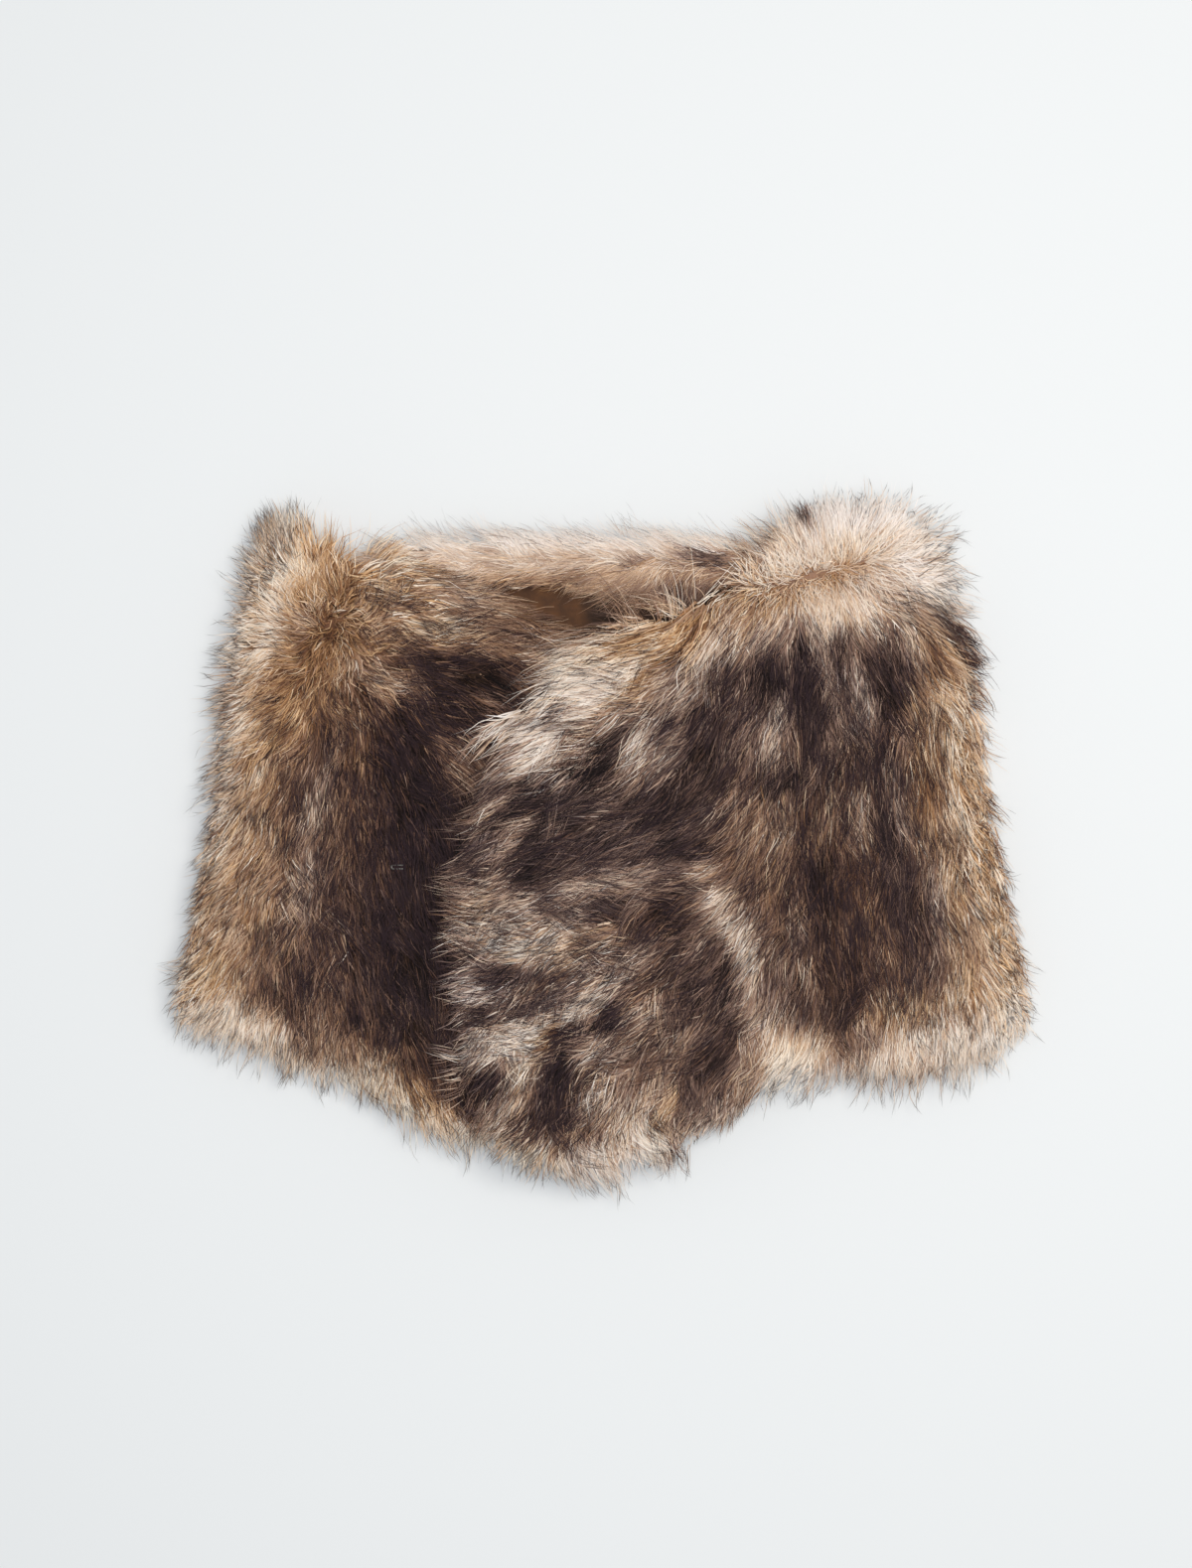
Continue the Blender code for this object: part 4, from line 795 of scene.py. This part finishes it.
    # its height: up to the pile's surface, in layers near the outline, and down beyond it
    tip = plan[:, -1]
    past = np.maximum(2.0 - sample(depth[panel], tip), 0.0)
    tipped = burnt < settings["tipped"] * sample(tips[panel], tip - sample(away, tip) * past[:, None])
    lift = draw.normal(0.0, 1.0, lockCount)[fineNumber] * settings["lockLift"]
    lift = lift + draw.normal(0.0, 1.0, count) * settings["hairLift"] + settings["lift"]
    lift = lift + settings["tipLift"] * tipped
    rooted = np.maximum(sample(crest, roots) - settings["rootDepth"], sample(low, roots) + 1.0)
    beyond = np.maximum(-sample(depth[panel], plan), 0.0)
    ground = sample(settings["ground"], plan) + draw.uniform(0.5, 4.0, (count, 1))
    inLayers = soft(*settings["layerBand"], rootedIn)[:, None]
    layer = 1 - settings["layers"] * draw.random((count, 1)) * inLayers
    surface = sample(low, plan) + (sample(crest, plan) - sample(low, plan)) * layer
    surface = ground + (surface - ground) * np.exp(-beyond / settings["droop"])
    climb = 1 - (1 - shares[None]) ** (settings["rise"] - (1 - soft(0.2, 0.9, agree))[:, None])
    height = rooted[:, None] + (surface - rooted[:, None]) * climb
    height = height + (lift[:, None] + (1 - agree)[:, None] * settings["stand"]) * shares[None] ** 1.5
    height = np.maximum(height, 0.4)
    paths = np.concatenate([plan - tableOrigin, height[..., None]], -1)

    # strips face out of the pile, taper to the tip and are thinner past the outline
    slope = uphill(spread(crest, 5.0) / spread(np.ones_like(crest), 5.0))
    out = np.concatenate([-sample(slope, plan), np.ones(plan.shape[:2] + (1,))], -1)
    out[..., :2] += sample(away, plan) * soft(10.0, -8.0, sample(depth[panel], plan))[..., None] * 0.8
    out /= np.linalg.norm(out, axis=-1, keepdims=True)
    taper = np.where(tipped, 0.5, 0.85)[:, None]
    width = settings["width"] * draw.uniform(0.6, 1.4, (count, 1)) * (1.0 - taper * shares[None] ** 3)
    thinned = 1 - 0.5 * soft(4.0, -5.0, sample(depth[panel], tip))[:, None]
    width = width * (1 + 0.25 * tipped[:, None]) * thinned
    rolls = draw.normal(0.0, settings["roll"], count)

    # the coat's colour where most of the hair is seen, held inside the outline, with each lock's own tone
    late = settings["seenLate"]
    seenAt = plan[:, -2] + late * (tip - plan[:, -2])
    wispSeenAt = ofWisp[:, -2] + late * (ofWisp[:, -1] - ofWisp[:, -2])
    seenAt = seenAt + settings["coatPull"] * (wispSeenAt - seenAt)
    outside = np.maximum(3.0 - sample(depth[panel], seenAt), 0.0)
    seen = sample(coat[panel], seenAt - sample(away, seenAt) * outside[:, None])
    contrast = 0.8 + 0.5 * np.clip(seen[:, 0], 0.0, 0.8)
    light = toneMix[0] * draw.normal(0, 1, lockCount)[fineNumber]
    light = light + toneMix[1] * draw.normal(0, 1, lockCount)[wispNumber]
    light = light + toneMix[2] * draw.normal(0, 1, lockCount)[coarseNumber]
    light = light * settings["lockTone"] * sample(settings["mottle"], roots)
    light = light + draw.normal(0, 1, count) * settings["hairTone"]
    light = light + settings["glint"] * (draw.random(count) < settings["glintShare"])
    light = np.clip(seen[:, 0] + light * contrast + settings["tone"], 0.01, 0.98)
    band = np.clip(np.rint(3 * (seen[:, 1] + draw.normal(0.0, settings["goldSpread"], count))), 0, 3)
    u = (band + light) / 4
    v = shares[None] * np.where(tipped, 1.0, settings["plainTip"])[:, None]
    mapWidth = np.array([-0.0006, 0.0006])  # so narrow that a strip reads one colour across
    maps = np.empty((count, 2 * shares.size - 1, 2))
    maps[:, :-1, 0] = np.tile(u[:, None] + mapWidth, shares.size - 1)
    maps[:, :-1, 1] = v[:, :-1].repeat(2, 1)
    maps[:, -1] = np.stack([u, v[:, -1]], -1)

    mesh = ribbonMesh(name, paths, out, width, rolls, maps)
    mesh.materials.append(material)
    made = bpy.data.objects.new(name, mesh)
    bpy.context.scene.collection.objects.link(made)
    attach(made, "root")
    print(name, "hairs", count, "triangles", len(mesh.polygons))
    return made


guardHair = {"rootEnd": 0.45, "rootShare": 0.2, "rootColour": "#a07a52", "tipStart": 0.58, "tipFull": 0.86,
             "tipShare": 0.95, "tipColour": "#33262a", "roughness": 0.6, "gloss": 0.07}
underWool = {"rootEnd": 0.5, "rootShare": 0.5, "rootColour": "#946f4a", "tipStart": 0.8, "tipFull": 1.0,
             "tipShare": 0.4, "tipColour": "#2a1d1b", "roughness": 0.8, "gloss": 0.05}
guardMaterial = hairMaterial("combed modacrylic guard hair", guardHair)
woolMaterial = hairMaterial("matted modacrylic underwool", underWool)

print("cloth under the pile")
backing = {"fleckSize": 0.003, "fleck": 0.3, "darker": -0.3}
backingCloth = backingMaterial(backing)
leftPanel = {"rows": 42, "columns": 50, "inset": paintedField(12.0, []), "turn": 9.0, "clear": 3.0,
             "pile": 12.0, "thickness": 1.6, "slot": "fur"}
rightPanel = {**leftPanel, "inset": paintedField(12.0, rightClothInset)}
stripPanel = {**leftPanel, "rows": 10, "inset": paintedField(4.0, facingClothInset), "turn": 4.0,
              "clear": 2.5, "pile": 8.0}
backPanel = {**leftPanel, "inset": paintedField(12.0, backClothInset), "turn": 5.0, "clear": 1.8,
             "pile": 6.0}
leftCloth, leftArea = clothPanel("left_front", leftFrontCut, backingCloth, leftPanel)
rightCloth, rightArea = clothPanel("right_front", rightFrontCut, backingCloth, rightPanel)
facingCloth, facingArea = clothPanel("neck_facing", facingCut, backingCloth, stripPanel)
backCloth, backArea = clothPanel("back", backCut, backingCloth, backPanel)
print("cloth areas", leftArea, rightArea, facingArea, backArea)

# heights of what each panel's hair can fall on
floorLevel = np.zeros(atX.shape)
onBack = 12.0 * soft(-4.0, 4.0, depth["back"])
onFacing = np.maximum(onBack, top["neck_facing"] * soft(-4.0, 4.0, depth["neck_facing"]))
onLeft = top["left_front"] * soft(-6.0, 6.0, depth["left_front"])
onAll = np.maximum(onLeft, onFacing)

# where the roots are, from 0 to 1: hair and underwool of the fronts, in from the dense pile's edge
shownLeft = soft(34.0, 22.0, depth["right_front"])
upperPart = soft(2.0, 8.0, atY)
leftInset = paintedField(24.0, leftFrontInset)
rightInset = paintedField(26.0, rightFrontInset)
leftRoots = soft(-4.0, 4.0, depth["left_front"] - leftInset) * shownLeft
rightRoots = soft(-4.0, 4.0, depth["right_front"] - rightInset) * paintedField(1.0, partingRoots)
leftWoolRoots = soft(-4.0, 4.0, depth["left_front"] - 0.9 * leftInset) * shownLeft
rightWoolRoots = soft(-4.0, 4.0, depth["right_front"] - 0.9 * rightInset)
coveredLeft = soft(2.0, 6.0, depth["left_front"]) * (1 - shownLeft) * soft(-60.0, -80.0, atY)

# the neck's curls, the facing and the back
curlRoots = ring(depth["right_front"], (11.0, 14.0), (22.0, 18.0))
curlRoots = curlRoots * soft(6.0, 12.0, atX) * soft(56.0, 44.0, atX) * soft(80.0, 96.0, atY)
facingRoots = soft(3.0, 9.0, depth["neck_facing"]) * soft(147.0, 142.0, atY)
facingTopEdge = soft(1.0, 3.0, depth["neck_facing"]) * soft(146.0, 150.0, atY)
neckEdge = soft(132.0, 142.0, atY) * soft(150.0, 120.0, np.abs(atX))
backRoots = ring(depth["back"], (5.0, 9.0), (26.0, 18.0)) * (1 - 0.95 * neckEdge)

# locks along the outline, where the hair hangs over the floor
overFloor = np.maximum(soft(-100.0, -110.0, atY), 0.5 * soft(150.0, 160.0, atX))
overFloor = np.maximum(overFloor, 0.4 * soft(150.0, 158.0, atY) * soft(96.0, 106.0, atX))
overFloor = overFloor * paintedField(1.0, rightLockShare)
leftRing = ring(depth["left_front"], (3.0, 7.0), (20.0, 14.0))
leftRing = leftRing * np.maximum(soft(-90.0, -100.0, atY), 0.5 * soft(-140.0, -150.0, atX))
leftRing = leftRing * shownLeft * paintedField(1.0, leftLockShare)
rightRing = ring(depth["right_front"], (3.0, 7.0), (20.0, 14.0)) * overFloor

# short hair round both folds
leftFoldDepth = depth["left_front"] - np.maximum(leftInset - 19.0, 0.0)
leftFlank = ring(leftFoldDepth, (2.0, 5.0), (22.0, 16.0)) * soft(-150.0, -165.0, atX)
rightFoldDepth = depth["right_front"] - np.maximum(rightInset - 19.0, 0.0)
rightFlank = np.maximum(soft(150.0, 165.0, atX), 0.5 * soft(140.0, 150.0, atY) * soft(70.0, 90.0, atX))
rightFlank = rightFlank * paintedField(1.0, rightFlankShare)
rightFlank = rightFlank * ring(rightFoldDepth, (2.0, 5.0), (22.0, 16.0))

leftReach = paintedField(1.0, leftFrontReach)
rightReach = paintedField(1.0, rightFrontReach)
leftRuffle = paintedField(1.0, leftFrontRuffle)
rightRuffle = paintedField(1.0, rightFrontRuffle)
rightMottle = paintedField(1.0, rightFrontMottle)
lowerFacingReach = paintedField(1.0, facingReach)

# Lengths are in mm and angles in radians. Pulls are shares of the way to the lock's path at the tip.
hairBase = {
    "steps": 3, "buried": 0.2, "reach": 30.0, "reachSpread": 0.18, "standing": 0.45, "overhang": 18.0,
    "edgeBand": (32.0, 14.0), "layerBand": (26.0, 4.0), "shortest": 0.25, "longest": 1.6,
    "wispSpread": 0.08, "wispReach": 0.4, "tuftReach": 0.5,
    "finePitch": 2.0, "wispPitch": 4.8, "coarsePitch": 9.0,
    "finePull": 0.7, "wispPull": 0.15, "edgePull": 0.12, "coarsePull": 0.12, "tuftPull": 0.3,
    "swerve": 0.17, "lockSwerve": 0.14, "curl": 0.0, "curlSpread": 0.25, "wave": 1.0, "stray": 1.6,
    "lift": 0.5, "lockLift": 1.2, "hairLift": 1.0, "rootDepth": 15.0, "layers": 0.8, "droop": 14.0,
    "rise": 2.4, "stand": 5.0, "width": 0.42, "roll": 0.45,
    "lockTone": 0.11, "hairTone": 0.09, "glint": 0.2, "glintShare": 0.06, "goldSpread": 0.12,
    "tone": 0.02, "tipped": 1.0, "tipLift": 0.9, "plainTip": 0.6,
    "coatPull": 0.4, "seenLate": 0.1, "ground": floorLevel,
    "reachField": np.ones(atX.shape), "ruffle": np.ones(atX.shape), "mottle": np.ones(atX.shape),
}
woolBase = {**hairBase, "steps": 2, "reach": 20.0, "width": 1.0, "lift": -2.5, "lockLift": 0.8,
            "hairLift": 0.7, "tone": -0.02, "tipped": 0.2}
outlineLocks = {**hairBase, "steps": 4, "reach": 16.0, "wispPitch": 7.0, "wispPull": 0.75, "wispReach": 0.9,
                "tuftReach": 0.3, "tuftPull": 0.0, "coarsePull": 0.0, "tipped": 2.2, "stray": 1.0}
# The flank hair's tone is a little lower: painted shade on the short hair that hangs down round the folds.
flankHair = {**hairBase, "reach": 10.0, "wispReach": 0.2, "tuftReach": 0.2, "rootDepth": 30.0,
             "layers": 1.0, "droop": 6.0, "width": 0.5, "lift": -4.0, "tone": -0.04, "wispPull": 0.3}

growHair("left_front_underwool", "left_front", woolMaterial,
         {**woolBase, "seed": 10, "count": 20000, "chance": leftWoolRoots})
growHair("left_front_covered_pile", "left_front", woolMaterial,
         {**woolBase, "seed": 12, "count": 3000, "chance": coveredLeft})
growHair("left_front_guard_hair", "left_front", guardMaterial,
         {**hairBase, "seed": 20, "count": 38000, "chance": leftRoots, "reach": 26.0,
          "reachField": leftReach, "ruffle": leftRuffle})
growHair("right_front_underwool", "right_front", woolMaterial,
         {**woolBase, "seed": 30, "count": 30000, "chance": rightWoolRoots, "ground": onAll,
          "reachField": rightReach})
growHair("right_front_upper_hair", "right_front", guardMaterial,
         {**hairBase, "seed": 40, "count": 39000, "chance": rightRoots * upperPart, "ground": onAll,
          "reach": 32.0, "reachField": rightReach, "ruffle": rightRuffle, "mottle": rightMottle})
growHair("right_front_lower_hair", "right_front", guardMaterial,
         {**hairBase, "seed": 50, "count": 39000, "chance": rightRoots * (1 - upperPart), "ground": onLeft,
          "reach": 28.0, "reachField": rightReach, "ruffle": rightRuffle, "mottle": rightMottle})
growHair("left_front_outline_locks", "left_front", guardMaterial,
         {**outlineLocks, "seed": 25, "count": 1700, "chance": leftRing, "reachField": leftReach})
growHair("right_front_outline_locks", "right_front", guardMaterial,
         {**outlineLocks, "seed": 55, "count": 1900, "chance": rightRing, "reachField": rightReach,
          "ground": onLeft})
growHair("left_flank_hair", "left_front", guardMaterial,
         {**flankHair, "seed": 28, "count": 2800, "chance": leftFlank, "reachField": leftReach})
growHair("right_flank_hair", "right_front", guardMaterial,
         {**flankHair, "seed": 58, "count": 3800, "chance": rightFlank, "reachField": rightReach})
growHair("neck_facing_hair", "neck_facing", guardMaterial,
         {**hairBase, "seed": 60, "count": 14000, "chance": facingRoots, "reach": 22.0, "rootDepth": 12.0,
          "ground": onBack, "reachField": lowerFacingReach, "lockTone": 0.07, "hairTone": 0.06,
          "lift": -0.5})
growHair("neck_edge_wisps", "neck_facing", guardMaterial,
         {**hairBase, "seed": 63, "count": 1800, "chance": facingTopEdge, "reach": 11.0,
          "reachSpread": 0.35, "rootDepth": 6.0, "lie": "wisps", "width": 0.22, "swerve": 0.25,
          "tone": 0.15, "tipped": 0.3, "lift": -1.0})
growHair("neck_edge_flyaways", "neck_facing", guardMaterial,
         {**hairBase, "seed": 65, "count": 320, "chance": facingTopEdge, "reach": 17.0,
          "reachSpread": 0.4, "rootDepth": 6.0, "steps": 6, "lie": "flyaways", "finePull": 0.0,
          "wispPull": 0.0, "coarsePull": 0.2, "tuftPull": 0.0, "curl": 0.3, "curlSpread": 0.15,
          "stray": 1.0, "wave": 0.6, "width": 0.17, "tone": -0.4, "tipped": 20.0, "swerve": 0.2,
          "lockSwerve": 0.2})
growHair("neck_edge_curls", "right_front", guardMaterial,
         {**hairBase, "seed": 45, "count": 190, "chance": curlRoots, "ground": onAll, "reach": 26.0,
          "reachSpread": 0.35, "steps": 5, "lie": "neck_curls", "finePull": 0.3, "wispPitch": 5.0,
          "wispPull": 0.45, "edgePull": 0.0, "tuftPull": 0.0, "coarsePull": 0.0, "lockSwerve": 0.3,
          "swerve": 0.2, "curl": 0.5, "curlSpread": 0.5, "lift": 2.0, "lockLift": 2.0, "tone": 0.04,
          "tipped": 0.2, "width": 0.38})
growHair("back_hair", "back", guardMaterial,
         {**hairBase, "seed": 70, "count": 9000, "chance": backRoots, "reach": 15.0, "rootDepth": 6.0,
          "lift": -1.0, "layers": 0.9})


# Brushed suede-look lining: matt tan brown with a soft mottle where the nap is stroked both ways, and
# painted shade: dark towards the right, past a line that wavers with the nap, under the edge of the front.
def liningMaterial(settings):
    made, tree, shader = newMaterial("brushed suede-look polyester lining")
    place = addNode(tree, "ShaderNodeTexCoord", {}).outputs["Object"]
    nap = addNode(tree, "ShaderNodeTexNoise", {
        "Vector": place, "Scale": 1.0 / settings["napSize"], "Detail": 3.0, "Roughness": 0.6})
    nap = nap.outputs["Fac"]
    colour = addNode(tree, "ShaderNodeValToRGB", {"Fac": nap}, stops=settings["colours"])
    grain = addNode(tree, "ShaderNodeTexNoise", {
        "Vector": place, "Scale": 1.0 / settings["grainSize"], "Detail": 2.0}).outputs["Fac"]
    bump = addNode(tree, "ShaderNodeBump", {
        "Height": grain, "Strength": 0.4, "Distance": settings["grainSize"] * 0.3})
    # painted shade: the colour goes dark brown to the right of a line across the lining, its edge wavering
    # with the nap
    across = addNode(tree, "ShaderNodeSeparateXYZ", {"Vector": place}).outputs["X"]
    wavering = addNode(tree, "ShaderNodeMath", {
        0: nap, 1: settings["wavers"], 2: across}, operation="MULTIPLY_ADD")
    shaded = tinted(tree, colour.outputs[0], wavering.outputs[0],
                    (settings["shadeStart"], settings["shadeStart"] + settings["shadeRamp"]),
                    (0.0, settings["shadeShare"]), settings["shadeColour"])
    tree.links.new(shaded, shader.inputs["Base Color"])
    tree.links.new(bump.outputs[0], shader.inputs["Normal"])
    shader.inputs["Roughness"].default_value = 0.9
    shader.inputs["Sheen Weight"].default_value = 0.1
    return made


# The lining's cut as a grid on its own form, with shallow drag folds that fan out from the neck: their
# height is a sine of the bearing from the shoulder, fading to nothing at the sewn edges.
def liningSheet(cut, material, settings):
    places = patch(cut, np.linspace(0, 1, settings["columns"]), np.linspace(0, 1, settings["rows"]))
    bearing = np.arctan2(places[..., 1] - settings["fanFrom"][1], places[..., 0] - settings["fanFrom"][0])
    fold = settings["foldHeight"] * np.sin(settings["folds"] * bearing)
    fold = fold * soft(0.0, 8.0, sample(depth["lining"], places))
    heights = sample(nodeHeights("lining", True, 3.0), places) + fold
    made, area = clothPiece("lining_sheet", places, heights, settings["thickness"], material)
    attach(made, "root")
    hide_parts("lining")
    return made, area


# painted shade on the lining: where it starts and over what width, how much the nap makes its edge waver,
# and its share and colour
suede = {"napSize": 0.009, "grainSize": 0.0008, "colours": [(0.3, "#472c18"), (0.7, "#643f20")],
         "shadeStart": -0.003, "shadeRamp": 0.007, "wavers": 0.02, "shadeShare": 0.75,
         "shadeColour": "#1e130d"}
liningPanel = {"rows": 40, "columns": 70, "fanFrom": (-60, 30), "folds": 26.0, "foldHeight": 0.5,
               "thickness": 0.6}
liningPiece, liningArea = liningSheet(liningCut, liningMaterial(suede), liningPanel)
print("lining area", liningArea)

# Drawn steel wire, plated and dulled by wear: a soft metal glint.
wire = plainMaterial("nickel-plated steel wire", "#a8a49d", 0.35, 1.0)
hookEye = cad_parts["hook_eye"]
hookEye.data.materials.clear()
hookEye.data.materials.append(wire)

print("floor, light and camera")


def addLight(name, place, size, power, colour):
    data = bpy.data.lights.new(name, "AREA")
    data.shape = "DISK"
    data.size = size
    data.energy = power
    data.color = linear(colour)[:3]
    lamp = bpy.data.objects.new(name, data)
    bpy.context.scene.collection.objects.link(lamp)
    lamp.location = place
    lamp.rotation_mode = "QUATERNION"
    toward = lamp.location.copy() * -1.0
    lamp.rotation_quaternion = toward.to_track_quat("-Z", "Y")
    lamp.visible_camera = False
    return lamp


# White paper: matt and even, a little grey.
paper = plainMaterial("white paper backdrop", "#e8eaea", 0.9)
bpy.ops.mesh.primitive_plane_add(size=6.0)
floor = bpy.context.object
floor.name = "floor"
floor.data.materials.append(paper)

world = bpy.data.worlds.new("studio fill")
bpy.context.scene.world = world
world.use_nodes = True
world.node_tree.nodes["Background"].inputs["Color"].default_value = linear("#eef2f5")
world.node_tree.nodes["Background"].inputs["Strength"].default_value = 0.36
addLight("key softbox", (0.8, 0.45, 2.0), 0.9, 17.5, "#fffaf2")
addLight("top softbox", (0.05, 0.05, 2.3), 0.7, 26.5, "#f8faff")

scene = bpy.context.scene
scene.view_settings.view_transform = "Standard"
cameraHeight = 2.2
frameHeight = 0.7895  # of the surface in view
pileLevel = 0.035
cameraData = bpy.data.cameras.new("overhead camera")
cameraData.sensor_width = 36.0
cameraData.lens = 36.0 * (cameraHeight - pileLevel) / frameHeight
camera = bpy.data.objects.new("overhead camera", cameraData)
scene.collection.objects.link(camera)
camera.location = (-0.00367, 0.02533, cameraHeight)
scene.camera = camera
